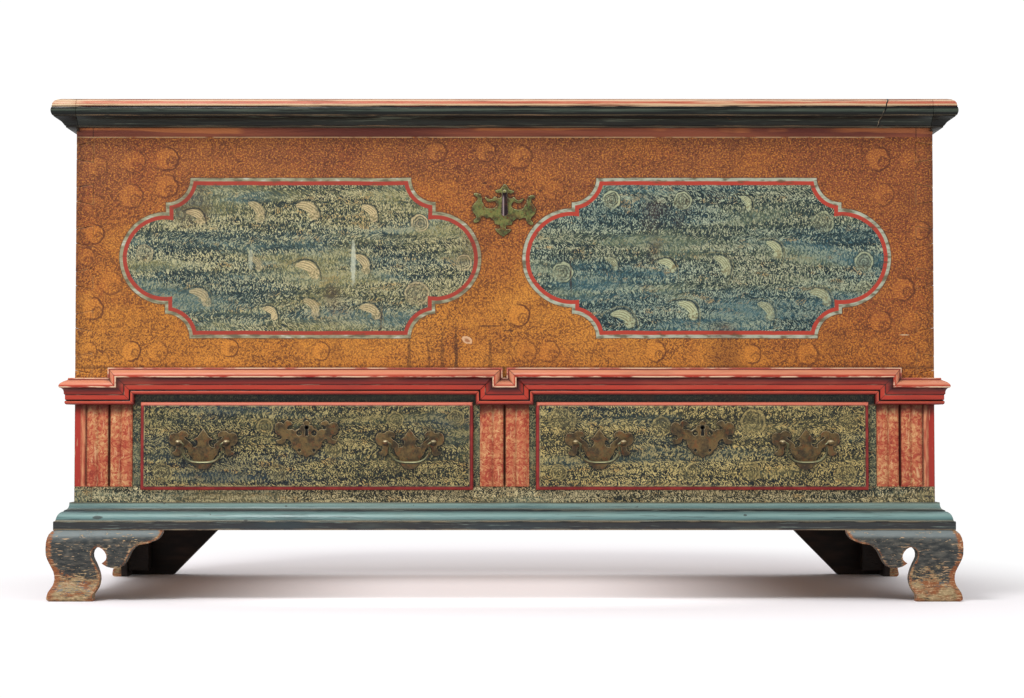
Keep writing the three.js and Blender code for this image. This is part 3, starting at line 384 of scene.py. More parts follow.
class Print:
    """The nearest print of the pad: sort 1 is a plain disc with a speckled curl, 2 a striped shell
    with a speckled tail, 3 a whorl of open rings. What is left over tells how strong it is."""

    def __init__(self, paint):
        seen = paint.node("ShaderNodeAttribute", {"attribute_name": "print"}, output="Vector")
        across, up, sort = paint.parts(seen)
        ragged = paint.wander(0.35, 0.008)
        self.strength = (sort.math("FRACT") - 0.05) * 2.5
        kind = sort.math("FLOOR")
        self.disc, self.shell, self.whorl = (kind.math("COMPARE", sort, 0.1) for sort in (1.0, 2.0, 3.0))

        reach = across.away(up) + ragged
        curl_across, curl_up = across - 0.32, up + 0.36
        curl = curl_across.away(curl_up) + ragged
        self.plain = reach.rise(0.85, 0.7) * curl.rise(0.35, 0.5)
        self.outline = abs(reach - 0.88).rise(0.12, 0.03) * (across - up * 0.4).rise(-0.6, 0.1)
        inner_line = abs(curl - 0.4).rise(0.09, 0.03) * curl_up.rise(-0.2, 0.1)
        self.outline = self.outline.higher(inner_line * 0.6)

        along, over = across * 0.77 - up * 0.64, across * 0.64 + up * 0.77
        bend = over + along * along * 0.32
        shell = (along * along * 0.66 + bend * bend * 4.4).root() + ragged * 0.5
        self.fan = shell.rise(0.98, 0.88) * (along + ragged).rise(0.85, 0.5)
        self.stripes = (bend * 4.6 + ragged * 2).wave().rise(0.5, 0.2)
        tail = (along - 0.75).away(over + 0.4) + ragged
        self.tail = tail.rise(0.55, 0.4)
        self.shade = abs(shell - 1.18).rise(0.26, 0.1) * bend.rise(0.0, 0.3)
        self.rim = abs(shell - 1.6).rise(0.12, 0.04) * bend.rise(0.0, 0.3)

        opened = (across * 0.7 + up).rise(-0.8, -0.3)
        rings = abs((reach * 3.6 + ragged * 1.5).math("FRACT") - 0.5).rise(0.3, 0.12)
        self.heart = reach.rise(1.0, 0.85)
        self.rings = rings * reach.rise(1.15, 1.0) * (opened * 0.7 + 0.3)
        self.light_ring = abs(reach - 0.84).rise(0.13, 0.04) * opened


def ochre_ground(paint):
    """Ochre glaze, golden low down and browner towards the top and the right, over a darker coat."""
    ground_foot, ground_height = 0.318, 0.35
    worn = paint.noise(0.16, (1, 1, 0.7), detail=3.0)
    to_right = abs(paint.x + 0.05).rise(0.3, 0.62) * 0.05 + paint.x.rise(0.3, 0.5) * 0.24
    ground = paint.ramp(
        (paint.z - ground_foot) / ground_height + (worn - 0.5) * 1.2 + to_right,
        (0.0, 208, 138, 53), (0.3, 192, 123, 43), (0.65, 168, 98, 43), (1.0, 138, 80, 46),
    )
    golden = paint.noise(0.05, (1.4, 1, 1), detail=4.0, roughness=0.6)
    ruddy = paint.noise(0.07, (1, 1, 1.5), detail=4.0, roughness=0.6).rise(0.5, 0.66) * 0.35
    fine = paint.noise(0.0021, (1.2, 1, 1), detail=2.0, roughness=0.6)
    dabs = Dabs(paint, 0.0135, 0.0014, 0.0027)
    fan = Print(paint)
    thin = paint.noise(0.05, (1.8, 1, 0.6), detail=2.0).rise(0.35, 0.7)
    speckle = (dabs.own + dabs.row * 0.12 + thin * 0.2).rise(0.68, 0.46).higher(dabs.gap * 0.45)
    speckle = speckle * (1 - fan.plain * fan.disc * (fan.strength * 0.5 + 0.25))
    speckle = speckle * (1.1 - golden.rise(0.4, 0.7) * 0.45)
    pressed = fan.disc * (fan.strength * 0.7 + 0.15)
    return paint.lay(
        ground,
        (golden.rise(0.5, 0.72) * paint.z.rise(0.7, 0.4) * 0.35, tint(226, 158, 66)),
        (ruddy.higher(paint.x.rise(0.3, 0.5) * 0.3), tint(148, 64, 30)),
        (fine.rise(0.51, 0.6) * 0.62, tint(218, 144, 54)),
        (fine.rise(0.49, 0.4) * 0.62, tint(122, 54, 28)),
        (speckle * 0.72, tint(78, 36, 22)),
        (fan.plain * pressed * 0.16, tint(204, 128, 52)),
        (fan.outline * pressed, tint(84, 40, 22)),
    )


def mottled_field(paint, cream, olive, blue, navy, pitch):
    """Blue and olive glaze over cream, in wavering bands, lifted by rows of short curled strokes."""
    dabs = Dabs(paint, pitch)
    band = paint.noise(0.04, (5, 1, 1), detail=3.0)
    patch = paint.noise(0.03, (3.5, 1, 0.6), detail=3.0) - 0.5
    calm = paint.noise(0.045, (4, 1, 0.7), detail=2.0)
    bold = dabs.bold * (1 - calm.rise(0.5, 0.64) * 0.5)
    curled = calm.rise(0.56, 0.46) * 0.8 + 0.2
    light = dabs.own * 0.8 + dabs.row * 0.22 + patch * 1.1 + paint.noise(0.002) * 0.5 - 0.3
    light = light + (dabs.curl - 0.5) * curled * 0.5
    golden = paint.noise(0.011, (2.4, 1, 1), detail=3.0, roughness=0.6).rise(0.56, 0.68)
    pale = paint.lay(
        cream,
        (band.rise(0.48, 0.62) * 0.4, paint.blend(0.4, cream, tint(196, 152, 62))),
        (band.rise(0.48, 0.34) * 0.7, paint.blend(0.45, blue, cream)),
        (golden * 0.6, tint(184, 138, 66)),
    )
    lines = dabs.gap.higher(dabs.curl.rise(0.2, 0.04) * curled)
    return paint.lay(
        blue,
        (band.rise(0.42, 0.58), olive),
        (dabs.other.rise(0.6, 0.95) * 0.6, blue),
        (dabs.other.rise(0.35, 0.05) * 0.6, olive),
        (light.rise(0.5, 0.73) * bold, pale),
        (light.rise(0.48, 0.28) * bold, navy),
        (lines * dabs.other.rise(0.0, 0.4) * bold * 0.95, navy),
    )


def stamped(paint, field, fan, cream, olive, navy, strength):
    """Shells and whorls pressed into a mottled field."""
    mottle = paint.blend(paint.noise(0.0026, detail=2.0).rise(0.4, 0.6), olive, cream)
    pressed = fan.shell * (fan.strength * 0.6 + 0.4)
    rubbed_off = paint.noise(0.0024, detail=2.0).rise(0.3, 0.56) * 0.5 + 0.45
    whorl = fan.whorl * strength * (fan.strength * 0.6 + 0.3)
    return paint.lay(
        field,
        (fan.shade * pressed * 0.8, navy),
        (fan.rim * pressed * 0.7, olive),
        (fan.fan * pressed * rubbed_off, cream),
        (fan.fan * fan.stripes * fan.shell * 0.8, olive),
        (fan.tail * pressed * 0.8, mottle),
        (fan.heart * whorl * 0.5, mottle),
        (fan.light_ring * whorl * 0.7, cream),
        (fan.rings * whorl * 0.85, navy),
    )


def smear(paint, across, low, high, half):
    """A ragged upright streak or level scratch: its middle, its two ends and half its width."""
    ragged = paint.wander(0.8, 0.004)
    side = (paint.x - across + paint.wander(0.004, 0.012)) / half
    over = (paint.z - (low + high) / 2) / ((high - low) / 2)
    return (side.away(over) + ragged).rise(1.15, 0.75)


def inner_wood(paint, grain):
    """The bare inner face of a painted board."""
    figure = paint.noise(0.012, grain, detail=4.0, twist=0.8)
    return paint.ramp(figure, (0.3, 112, 80, 50), (0.7, 160, 122, 80))


paint = Finish("sponged_ochre_with_panels")
on_right = paint.x.rise(-0.001, 0.001)
panel_centre = on_right * (panel_middle[1] - panel_middle[0]) + panel_middle[0]
x_panel = abs(abs(paint.x) - panel_centre)
z_panel = abs(paint.z - panel_level)
waver = paint.wander(0.0022, 0.05, detail=1.0)
notch_across = x_panel - panel_half[0]
notch_up = z_panel - panel_half[1]
notch = notch_across.away(notch_up)
lobe_edge = notch_across.away(z_panel) - (on_right * (panel_lobe[1] - panel_lobe[0]) + panel_lobe[0])
inset = waver - notch_across.higher(notch_up).higher(panel_notch - notch).lower(lobe_edge)

olive_glaze = paint.blend(on_right, tint(124, 122, 78), tint(100, 112, 86))
blue_glaze = paint.blend(on_right, tint(86, 112, 108), tint(58, 98, 106))
cream_ground = paint.blend(on_right, tint(198, 192, 148), tint(178, 186, 156))
shell_cream = paint.blend(on_right, tint(206, 184, 138), tint(184, 190, 150))
field = mottled_field(paint, cream_ground, olive_glaze, blue_glaze, tint(18, 36, 40), 0.0155)
fan = Print(paint)
field = stamped(paint, field, fan, shell_cream, tint(122, 112, 76), tint(18, 34, 38), 0.9)

rubbed = paint.noise(0.006, (3, 1, 1), detail=3.0)
red_rule = paint.lay(
    paint.blend(on_right, tint(158, 56, 42), tint(172, 58, 42)),
    (rubbed.rise(0.56, 0.7), tint(124, 62, 44)),
)
grey_rule = paint.lay(
    paint.blend(on_right, tint(146, 142, 112), tint(164, 168, 146)),
    (rubbed.rise(0.46, 0.64), tint(104, 98, 76)),
    (rubbed.rise(0.44, 0.3), tint(180, 182, 164)),
)
painted = paint.lay(
    ochre_ground(paint),
    (inset.rise(-0.0019, -0.0007) * 0.6, tint(70, 40, 26)),
    (inset.rise(-0.0004, 0.0003), grey_rule),
    (inset.rise(rule_grey - 0.0004, rule_grey + 0.0003), red_rule),
    (inset.rise(rule_red - 0.0004, rule_red + 0.0003), field),
)

# The bare strip that the lid's moulding covers, and the thin line ruled under it
strip_foot = 0.6684
strip = paint.noise(0.012, (20, 1, 1), detail=3.0)
strip_level = paint.z + paint.wander(0.02, 0.04, (5, 1, 1), detail=3.0)
in_places = paint.noise(0.16, detail=3.0).rise(0.48, 0.55)
in_places = in_places.higher(paint.x.rise(0.46, 0.5))
strip_high = paint.blend(strip.rise(0.3, 0.6), tint(142, 78, 46), tint(182, 108, 64))
strip_colour = paint.lay(
    paint.blend(strip.rise(0.35, 0.65), tint(100, 46, 36), tint(146, 78, 54)),
    (strip_level.rise(0.6755, 0.6775) * in_places, strip_high),
    (abs(paint.x).near(0.5965, 0.0011) * 0.6, tint(40, 20, 16)),
)
ruled = paint.z.rise(strip_foot - 0.001, strip_foot - 0.0004)
ruled = ruled * paint.z.rise(strip_foot + 0.001, strip_foot + 0.0004)
ruled = ruled * paint.x.rise(0.553, 0.549) * rubbed.rise(0.7, 0.5)

# Behind and below the waist moulding the board is painted as the drawers are
low_field = mottled_field(
    paint, tint(190, 178, 132), tint(126, 118, 80), tint(86, 100, 88), tint(24, 34, 34), 0.0105
)
# Near its top the low field is darkened to near-black as painted shadow under the waist moulding
painted_shadow_under_waist = paint.z.rise(0.268, 0.281) * 0.85
low_field = paint.blend(painted_shadow_under_waist, low_field, tint(22, 26, 24))
painted = paint.lay(
    painted,
    (paint.z.rise(strip_foot, strip_foot + 0.0008), strip_colour),
    (ruled * 0.8, tint(196, 160, 116)),
    (paint.z.rise(0.3, 0.299), low_field),
)

# Drips, scratches and chips on the front, where they are on the real one: the middle, the two ends
# and half the width of each, and how strong it is
painted = paint.lay(
    painted,
    (smear(paint, -0.2187, 0.455, 0.519, 0.0036) * 0.6, tint(196, 200, 178)),
    (smear(paint, -0.3673, 0.475, 0.506, 0.003) * 0.4, tint(186, 190, 168)),
)
for across, low, high, half, strength in (
    (-0.1378, 0.302, 0.384, 0.0028, 0.5), (-0.109, 0.302, 0.38, 0.002, 0.32),
    (-0.0902, 0.302, 0.384, 0.0028, 0.42), (-0.07, 0.302, 0.392, 0.0028, 0.66),
    (-0.0209, 0.302, 0.374, 0.0028, 0.45), (-0.03, 0.302, 0.35, 0.002, 0.3),
    (-0.024, 0.3935, 0.3955, 0.019, 0.8), (0.006, 0.3865, 0.3885, 0.008, 0.7),
    (0.001, 0.401, 0.405, 0.0026, 0.8), (-0.029, 0.6, 0.6035, 0.0028, 0.8),
    (-0.02, 0.595, 0.598, 0.0026, 0.7), (0.052, 0.5895, 0.5925, 0.003, 0.8),
    (0.0955, 0.44, 0.49, 0.0016, 0.6), (-0.178, 0.385, 0.43, 0.0018, 0.5),
):
    mark = smear(paint, across, low, high, half)
    painted = paint.blend(mark * strength, painted, tint(52, 26, 20))
dash = smear(paint, 0.578, 0.381, 0.3822, 0.007)
flake_place = (-0.0541, 0.374)
flake_across, _, flake_up = paint.parts(paint.stirred(0.006, 0.0016))
flake_across, flake_up = flake_across - flake_place[0], flake_up - flake_place[1]
flake_across = flake_across + flake_up * 0.5
flake = (flake_across * flake_across + flake_up * flake_up * 1.4).root()
flake = flake + paint.wander(0.004, 0.004)
stain = paint.noise(0.09, (1, 1, 1.4), detail=3.0).rise(0.58, 0.75)
chip = paint.noise(0.01, detail=3.0, roughness=0.7).rise(0.76, 0.78)
# Painted shade on the board close round the keyhole plate and its drop, where they stand out from it
painted_contact_shade = paint.hollow(0.008, 0.05, 0.24, alone=False)
painted_contact_shade = painted_contact_shade * paint.z.rise(0.52, 0.53) * paint.z.rise(0.67, 0.66)
# Darker just above the waist moulding and at the case's ends: grime and painted shade
grime_and_edge_shade = paint.z.rise(0.3385, 0.3345).higher(abs(paint.x).rise(0.602, 0.62) * 0.7)
grime_and_edge_shade = grime_and_edge_shade * paint.z.rise(0.332, 0.333)
edge_wear = paint.arris(0.003) * paint.noise(0.01, detail=3.0).rise(0.42, 0.6)
painted = paint.lay(
    painted,
    (dash * 0.8, tint(216, 196, 160)),
    (flake.rise(0.0072, 0.006), tint(208, 166, 126)),
    (flake.rise(0.0042, 0.002), tint(158, 104, 68)),
    (stain * 0.4, tint(78, 36, 22)),
    (chip, tint(206, 176, 132)),
    (painted_contact_shade * 0.7, tint(50, 30, 16)),
    (grime_and_edge_shade * 0.5, tint(64, 32, 20)),
    (edge_wear * 0.8, tint(168, 118, 72)),
)
outside = abs(paint.x).rise(end_skin - 0.0004, end_skin + 0.0004)
outside = outside.higher(paint.y.rise(front_skin + 0.0005, front_skin - 0.0005))
colour = paint.blend(outside, inner_wood(paint, (8, 8, 1)), painted)
relief = paint.noise(0.0016, (5, 5, 1), detail=2.0)
chest_coat = paint.coat(colour, rubbed * 0.25 + 0.42, relief, 0.00035)

sorts = (front_rings, front_shells, front_whorls)
all_prints = [(*place, sort) for sort, places in enumerate(sorts, 1) for place in places]
pad = random.Random(4)
first_across, first_up, pitch_across, pitch_up = -240, 345, 62, 60
end_prints = []
for row in range(6):
    for step in range(9):
        across = first_across + step * pitch_across + row % 2 * pitch_across / 2
        across, up = across + pad.uniform(-12, 12), first_up + row * pitch_up + pad.uniform(-10, 10)
        end_prints.append((across, up, pad.uniform(14, 19), 1))
for board in ("front_board", "left_end", "right_end"):
    eased(board, chest_coat, prints=all_prints, side_prints=end_prints, cell=0.012)


# The drawer rail and the stiles are painted like the drawer fronts, in olive and blue glaze over
# cream. The rail is one board right across the case.

paint = Finish("olive_glaze_on_the_rail")
rail_field = mottled_field(
    paint, tint(220, 206, 158), tint(138, 126, 86), tint(92, 108, 92), tint(22, 30, 28), 0.0105
)
rail_wear = paint.arris(0.003) * paint.noise(0.008, detail=3.0).rise(0.45, 0.6)
rail_field = paint.blend(rail_wear * 0.6, rail_field, tint(150, 120, 84))
rail_relief = paint.noise(0.0016, (5, 1, 1), detail=2.0)
eased("bottom_rail", paint.coat(rail_field, 0.5, rail_relief, 0.0003))


# Three reeded pilasters stand on the rail. The reeds are planed in the solid, given a cream ground
# and a mottled rose-red glaze. The outer edge has a plain crimson strip and a bead.

paint = Finish("mottled_red_on_reeds")
crimson_edge, bead_middle, stile_front = 0.6111, 0.6065, -0.2589
reed_x = abs(paint.x)
squiggle = Dabs(paint, 0.011, 0.0021, 0.0034)
blot = paint.noise(0.02, (1, 1, 2.5), detail=3.0)
mottle = paint.ramp(
    squiggle.own * 0.5 + blot * 0.9 + squiggle.row * 0.12 - 0.25,
    (0.15, 140, 48, 34), (0.42, 172, 74, 50), (0.68, 191, 120, 79), (0.92, 208, 161, 109),
)
streak = paint.noise(0.004, (1, 1, 7), detail=3.0).rise(0.6, 0.7)
bead = paint.noise(0.006, (1, 1, 6)).rise(0.4, 0.6)
bead = paint.blend(bead, tint(176, 84, 58), tint(208, 140, 100))
# The grooves between the reeds are darkened as painted shade, most along the joints
deep_line = reed_x.near(0.569, 0.006).higher(reed_x.rise(0.596, 0.6)).higher(reed_x.near(0.0, 0.006))
joints_and_groove_shade = paint.hollow(0.008, 0.1, 0.32) * (deep_line * 0.65 + 0.35)
# The waist moulding's shadow on the tops of the reeds is painted, down to this wavering level
shadow_foot = paint.z + paint.wander(0.016, 0.012)
stile_field = mottled_field(
    paint, tint(172, 166, 122), tint(112, 110, 76), tint(84, 96, 84), tint(30, 42, 40), 0.0105
)
reed_colour = paint.lay(
    mottle,
    (reed_x.rise(crimson_edge - 0.0003, crimson_edge + 0.0003), tint(164, 46, 34)),
    (streak * 0.5, tint(226, 186, 140)),
    (reed_x.near(bead_middle, 0.006), bead),
    (joints_and_groove_shade * 0.9, tint(50, 22, 18)),
    (shadow_foot.rise(0.262, 0.279) * 0.85, tint(66, 26, 20)),
    (paint.y.rise(stile_front - 0.0003, stile_front + 0.0003), stile_field),
)
reed_relief = paint.noise(0.0018, (1, 1, 4), detail=2.0)
reed_coat = paint.coat(reed_colour, 0.5, reed_relief, 0.0003)
for side in ("left", "centre", "right"):
    eased(f"{side}_pilaster", reed_coat, rounding=0.0006)


# The waist moulding is planed in short lengths and mitred at each step. It is painted vermilion,
# rubbed to bare wood on its arrises, and its upper faces are pale salmon: rubbed paint and painted light.

paint = Finish("vermilion_waist_paint")
high_top, low_top, profile_height = 0.3339, 0.3194, 0.0385
outer_riser, inner_riser = 0.5719, 0.00335
waist_x = abs(paint.x)
below_low = low_top - paint.z
past_risers = (outer_riser - waist_x).lower(waist_x - inner_riser)
down = (high_top - paint.z).lower(below_low.higher(past_risers))
down = down + paint.wander(0.0012, 0.02, (3, 1, 1))
# Down the profile: paler upper faces as painted light, near-black undercuts as painted shade, a painted
# highlight on the bead
profile_colour_and_light = paint.ramp(
    down / profile_height,
    (0.0, 216, 128, 102), (0.03, 196, 92, 72), (0.075, 140, 44, 36), (0.1, 216, 142, 108),
    (0.24, 212, 132, 100), (0.29, 180, 58, 34), (0.35, 152, 42, 28), (0.375, 50, 6, 5),
    (0.43, 64, 8, 6), (0.47, 98, 18, 14), (0.585, 154, 38, 22), (0.61, 80, 14, 10),
    (0.635, 100, 20, 16), (0.665, 188, 58, 36), (0.8, 176, 48, 28), (0.825, 36, 12, 10),
    (0.865, 36, 12, 10), (0.885, 208, 88, 60), (0.95, 150, 42, 30), (1.0, 90, 26, 22),
)
waist_blot = paint.noise(0.03, (5, 1, 1), detail=4.0)
mitre = abs(below_low - past_risers).rise(0.0009, 0.0003)
mitre = mitre.higher(abs(high_top - paint.z - past_risers).rise(0.0009, 0.0003)) * down.rise(0.0, 0.001)
waist_worn = paint.noise(0.01, (5, 1, 1), detail=4.0, roughness=0.65)
worn_lines = down.near(0.0006, 0.0012) * waist_worn.rise(0.46, 0.58)
worn_lines = worn_lines.higher(down.near(0.0131, 0.0014) * waist_worn.rise(0.42, 0.54))
worn_lines = worn_lines.higher(down.near(0.0246, 0.0006) * waist_worn.rise(0.5, 0.64) * 0.35)
waist_colour = paint.lay(
    profile_colour_and_light,
    (waist_blot.rise(0.5, 0.72) * 0.3, tint(206, 104, 76)),
    (waist_blot.rise(0.5, 0.3) * 0.3, tint(96, 26, 22)),
    (mitre * 0.75, tint(44, 16, 14)),
    # Painted shade in the grooves and undercuts
    (paint.hollow(0.014, 0.07, 0.32) * 0.8, tint(46, 16, 14)),
    (worn_lines * 0.9, tint(230, 196, 162)),
)
waist_relief = paint.noise(0.002, (6, 1, 1), detail=2.0)
waist_coat = paint.coat(waist_colour, waist_blot * 0.3 + 0.2, waist_relief, 0.00025, gloss=0.35)
for name in ("moulding_left", "moulding_centre", "moulding_right", "return_left", "return_right"):
    eased(f"waist_{name}", waist_coat, rounding=0.0005)


# The base moulding is one ovolo and cove under the case, mitred at the front corners. Its upper
# part is turquoise, and the flat below is the dark slate blue of the feet.

paint = Finish("turquoise_base_paint")
base_foot, base_height = 0.1013, 0.0389
base_up = paint.z - base_foot + paint.wander(0.0012, 0.02, (3, 1, 1))
# Down the profile: a painted highlight along the torus and painted shade in the grooves
base_colour_and_light = paint.ramp(
    base_up / base_height,
    (0.0, 106, 84, 64), (0.03, 70, 62, 54), (0.06, 34, 37, 40), (0.26, 43, 42, 42),
    (0.285, 22, 20, 18), (0.315, 30, 26, 22), (0.335, 146, 138, 116), (0.36, 80, 98, 92),
    (0.42, 94, 126, 125), (0.49, 114, 146, 143), (0.54, 124, 156, 151), (0.6, 112, 142, 139),
    (0.67, 84, 108, 107), (0.685, 16, 22, 22), (0.735, 20, 26, 26), (0.755, 128, 128, 114),
    (0.78, 84, 106, 102), (0.84, 100, 132, 129), (0.92, 134, 160, 152), (0.96, 102, 126, 118),
    (0.985, 100, 92, 68), (1.0, 80, 74, 54),
)
base_blot = paint.noise(0.04, (5, 1, 1), detail=4.0)
base_streak = paint.noise(0.0016, (40, 40, 1), detail=4.0, roughness=0.7)
base_worn = paint.noise(0.008, (5, 1, 1), detail=4.0, roughness=0.65)
worn_rims = base_up.near(0.0123, 0.0012).higher(base_up.near(0.0008, 0.0014)) * base_worn.rise(0.44, 0.56)
worn_rims = worn_rims.higher(base_up.near(0.0285, 0.0008) * base_worn.rise(0.52, 0.62))
nick = paint.noise(0.009, (2, 1, 1), detail=3.0, roughness=0.6).rise(0.7, 0.74)
base_colour_and_light = paint.lay(
    base_colour_and_light,
    (base_blot.rise(0.5, 0.3) * 0.35, tint(46, 70, 76)),
    (base_blot.rise(0.55, 0.75) * 0.35, tint(128, 142, 130)),
    (base_streak.rise(0.58, 0.68) * 0.4, tint(156, 172, 160)),
    (base_streak.rise(0.44, 0.34) * 0.5, tint(36, 50, 52)),
    (worn_rims * 0.7, tint(138, 122, 94)),
    (nick * 0.8, tint(52, 44, 38)),
    (smear(paint, -0.5827, 0.1165, 0.122, 0.007) * 0.75, tint(40, 36, 32)),
    (smear(paint, -0.37, 0.1135, 0.1165, 0.003) * 0.75, tint(40, 36, 32)),
    (smear(paint, 0.345, 0.121, 0.124, 0.003) * 0.75, tint(40, 36, 32)),
    # Painted shade in the grooves and corners of the profile
    (paint.hollow(0.014, 0.07, 0.32) * 0.8, tint(22, 28, 30)),
)
base_relief = paint.noise(0.002, (6, 1, 1), detail=2.0)
base_coat = paint.coat(base_colour_and_light, base_blot * 0.3 + 0.2, base_relief, 0.00025, gloss=0.4)
for side in ("front", "left", "right"):
    eased(f"base_moulding_{side}", base_coat, rounding=0.0005)


# Ogee bracket feet, sawn from thick boards, mitred at the front corners and glued to blocks. The
# slate paint is worn through to orange-brown wood at the foot, on the sawn edge and on the arrises.

paint = Finish("slate_foot_paint")
scuff = paint.noise(0.025, (1.5, 1.5, 1), detail=5.0, roughness=0.7)
scratch = paint.noise(0.0022, (6, 6, 0.8), detail=3.0, roughness=0.65)
fine = paint.noise(0.004, (3, 3, 1), detail=3.0, roughness=0.65)
slate_colour = paint.blend(fine.rise(0.35, 0.75), tint(42, 47, 48), tint(94, 92, 84))
# Upward faces are lightened to blue-grey as a painted sheen
painted_top_sheen = paint.facing[2].rise(0.05, 0.5)
slate_colour = paint.blend(painted_top_sheen * 0.75, slate_colour, tint(134, 144, 144))
low_wear = paint.z.rise(0.07, 0.005)
rim_wear = paint.arris(0.007, 0.1, 0.45)
specks = paint.noise(0.0024, (3, 3, 1), detail=3.0, roughness=0.7)
wear = scuff * 0.42 + scratch * 0.24 + specks * 0.5 + low_wear * 0.2 + rim_wear * 0.16
patches = paint.noise(0.009, (2.5, 2.5, 1), detail=5.0, roughness=0.65)
foot_bare = paint.lay(
    paint.blend(patches.rise(0.38, 0.56), tint(140, 84, 48), tint(158, 136, 98)),
    (rim_wear * patches.rise(0.7, 0.5) * 0.9, tint(148, 84, 46)),
    (specks.rise(0.54, 0.66) * 0.7, tint(212, 184, 144)),
    (scratch.rise(0.46, 0.36) * 0.75, tint(62, 46, 36)),
    (specks.rise(0.44, 0.34) * 0.7, tint(58, 44, 36)),
)
hairline = paint.noise(0.0016, (9, 9, 1.2), detail=2.0, twist=0.4).rise(0.64, 0.69)
# The inner faces of the rear feet are near-black: dark old wood and painted shade
inner_dark_and_shade = paint.y.rise(0.0, 0.02) * abs(paint.x).rise(0.6385, 0.6375)
foot_colour = paint.lay(
    slate_colour,
    (wear.rise(0.67, 0.7), foot_bare),
    (hairline * 0.7, tint(206, 172, 132)),
    # Painted shade in the hollows of the feet
    (paint.hollow(0.02, 0.35, 0.8) * 0.6, tint(30, 26, 24)),
    (inner_dark_and_shade, tint(34, 26, 22)),
)
foot_relief = paint.noise(0.0025, (3, 3, 1), detail=3.0) + wear.rise(0.68, 0.62) * 0.6
foot_coat = paint.coat(foot_colour, 0.42 + fine * 0.25, foot_relief, 0.0006)
# The rear back brackets are near-black brown: dark old wood and painted shade
dark_paint = Finish("dark_inner_brackets")
inner_blot = dark_paint.noise(0.02, (4, 1, 1), detail=4.0)
inner_colour = dark_paint.blend(inner_blot.rise(0.4, 0.7), tint(24, 18, 16), tint(48, 34, 26))
dark_coat = dark_paint.coat(inner_colour, 0.7, inner_blot, 0.0006, gloss=0.3)
for side in ("left", "right"):
    for part in (f"front_foot_{side}_face", f"front_foot_{side}_side", f"rear_foot_{side}_side"):
        eased(part, foot_coat, rounding=0.0014)
    eased(f"rear_foot_{side}_back", dark_coat, rounding=0.001)


# The lid is one board with a moulding under its front edge and a cleat across each end. Its edge is
# red over cream, the mouldings are a green so dark that it is nearly black, and it is bare below.

paint = Finish("lid_paint")
edge_foot, edge_height = 0.7083, 0.0137
run_foot, run_height = 0.6812, 0.0271
lid_rub = paint.noise(0.014, (7, 7, 1), detail=5.0, roughness=0.7)
lid_patch = paint.noise(0.11, (2, 1, 1), detail=3.0)
lid_streak = paint.noise(0.0024, (44, 44, 1), detail=5.0, roughness=0.7)
lid_grain = paint.noise(0.005, (30, 1, 1), detail=4.0, roughness=0.6)
lid_up = paint.z + paint.wander(0.0012, 0.02, (3, 3, 1))
upward = paint.facing[2]
lid_worn = (lid_grain * 0.6 + paint.noise(0.06, (3, 1, 1), detail=4.0) * 0.5).rise(0.62, 0.7)
lid_top = paint.blend(lid_grain.rise(0.4, 0.7) * 0.6, tint(134, 52, 38), tint(96, 38, 30))
lid_top = paint.blend(lid_worn * 0.7, lid_top, tint(166, 112, 78))
lid_edge = paint.ramp(
    (lid_up - edge_foot) / edge_height,
    (0.0, 14, 12, 10), (0.09, 16, 14, 12), (0.13, 126, 92, 68), (0.2, 196, 166, 128),
    (0.3, 200, 168, 132), (0.36, 186, 104, 78), (0.58, 184, 92, 70), (0.64, 200, 160, 128),
    (0.76, 204, 180, 148), (0.84, 160, 112, 86), (0.94, 176, 148, 120), (1.0, 96, 58, 44),
)
lid_edge = paint.lay(
    lid_edge,
    (lid_streak.rise(0.5, 0.62) * (lid_patch.rise(0.4, 0.6) * 0.6 + 0.2), tint(208, 176, 140)),
    (lid_streak.rise(0.46, 0.36) * 0.7, tint(120, 50, 38)),
    (lid_rub.rise(0.66, 0.7) * 0.7, tint(52, 34, 26)),
    (paint.x.rise(-0.6, -0.63) * lid_streak.rise(0.42, 0.5) * 0.7, tint(206, 182, 148)),
    (upward.rise(0.93, 0.97), lid_top),
)
# Down the mouldings: a painted highlight along the top of the ovolo and painted shade in the grooves
green_black_and_light = paint.ramp(
    (lid_up - run_foot) / run_height,
    (0.0, 54, 48, 36), (0.06, 92, 80, 60), (0.085, 10, 9, 8), (0.13, 28, 30, 25),
    (0.35, 31, 36, 30), (0.47, 14, 17, 14), (0.5, 6, 6, 5), (0.55, 6, 6, 5),
    (0.565, 112, 96, 70), (0.6, 10, 11, 9), (0.7, 15, 18, 15), (0.8, 60, 70, 60),
    (0.88, 70, 76, 64), (0.92, 18, 20, 16), (0.95, 7, 7, 6), (1.0, 6, 6, 6),
)
rub_through = (lid_rub * 0.7 + lid_patch * 0.4).rise(0.69, 0.73)
worn_arris = lid_up.near(0.6966, 0.0007).higher(lid_up.near(0.6833, 0.0006)) * lid_rub.rise(0.5, 0.62)
# The ends of the cleats are painted near-black below, as shade
cleat_end_shade = abs(paint.x).rise(0.612, 0.62) * paint.z.rise(0.702, 0.694)
green_black_and_light = paint.lay(
    green_black_and_light,
    (lid_streak.rise(0.5, 0.42) * 0.8, tint(8, 10, 8)),
    (lid_streak.rise(0.58, 0.66) * 0.5, tint(92, 98, 84)),
    (rub_through * 0.8, tint(116, 72, 46)),
    (worn_arris * 0.7, tint(140, 112, 82)),
    (cleat_end_shade * 0.75, tint(7, 8, 7)),
)

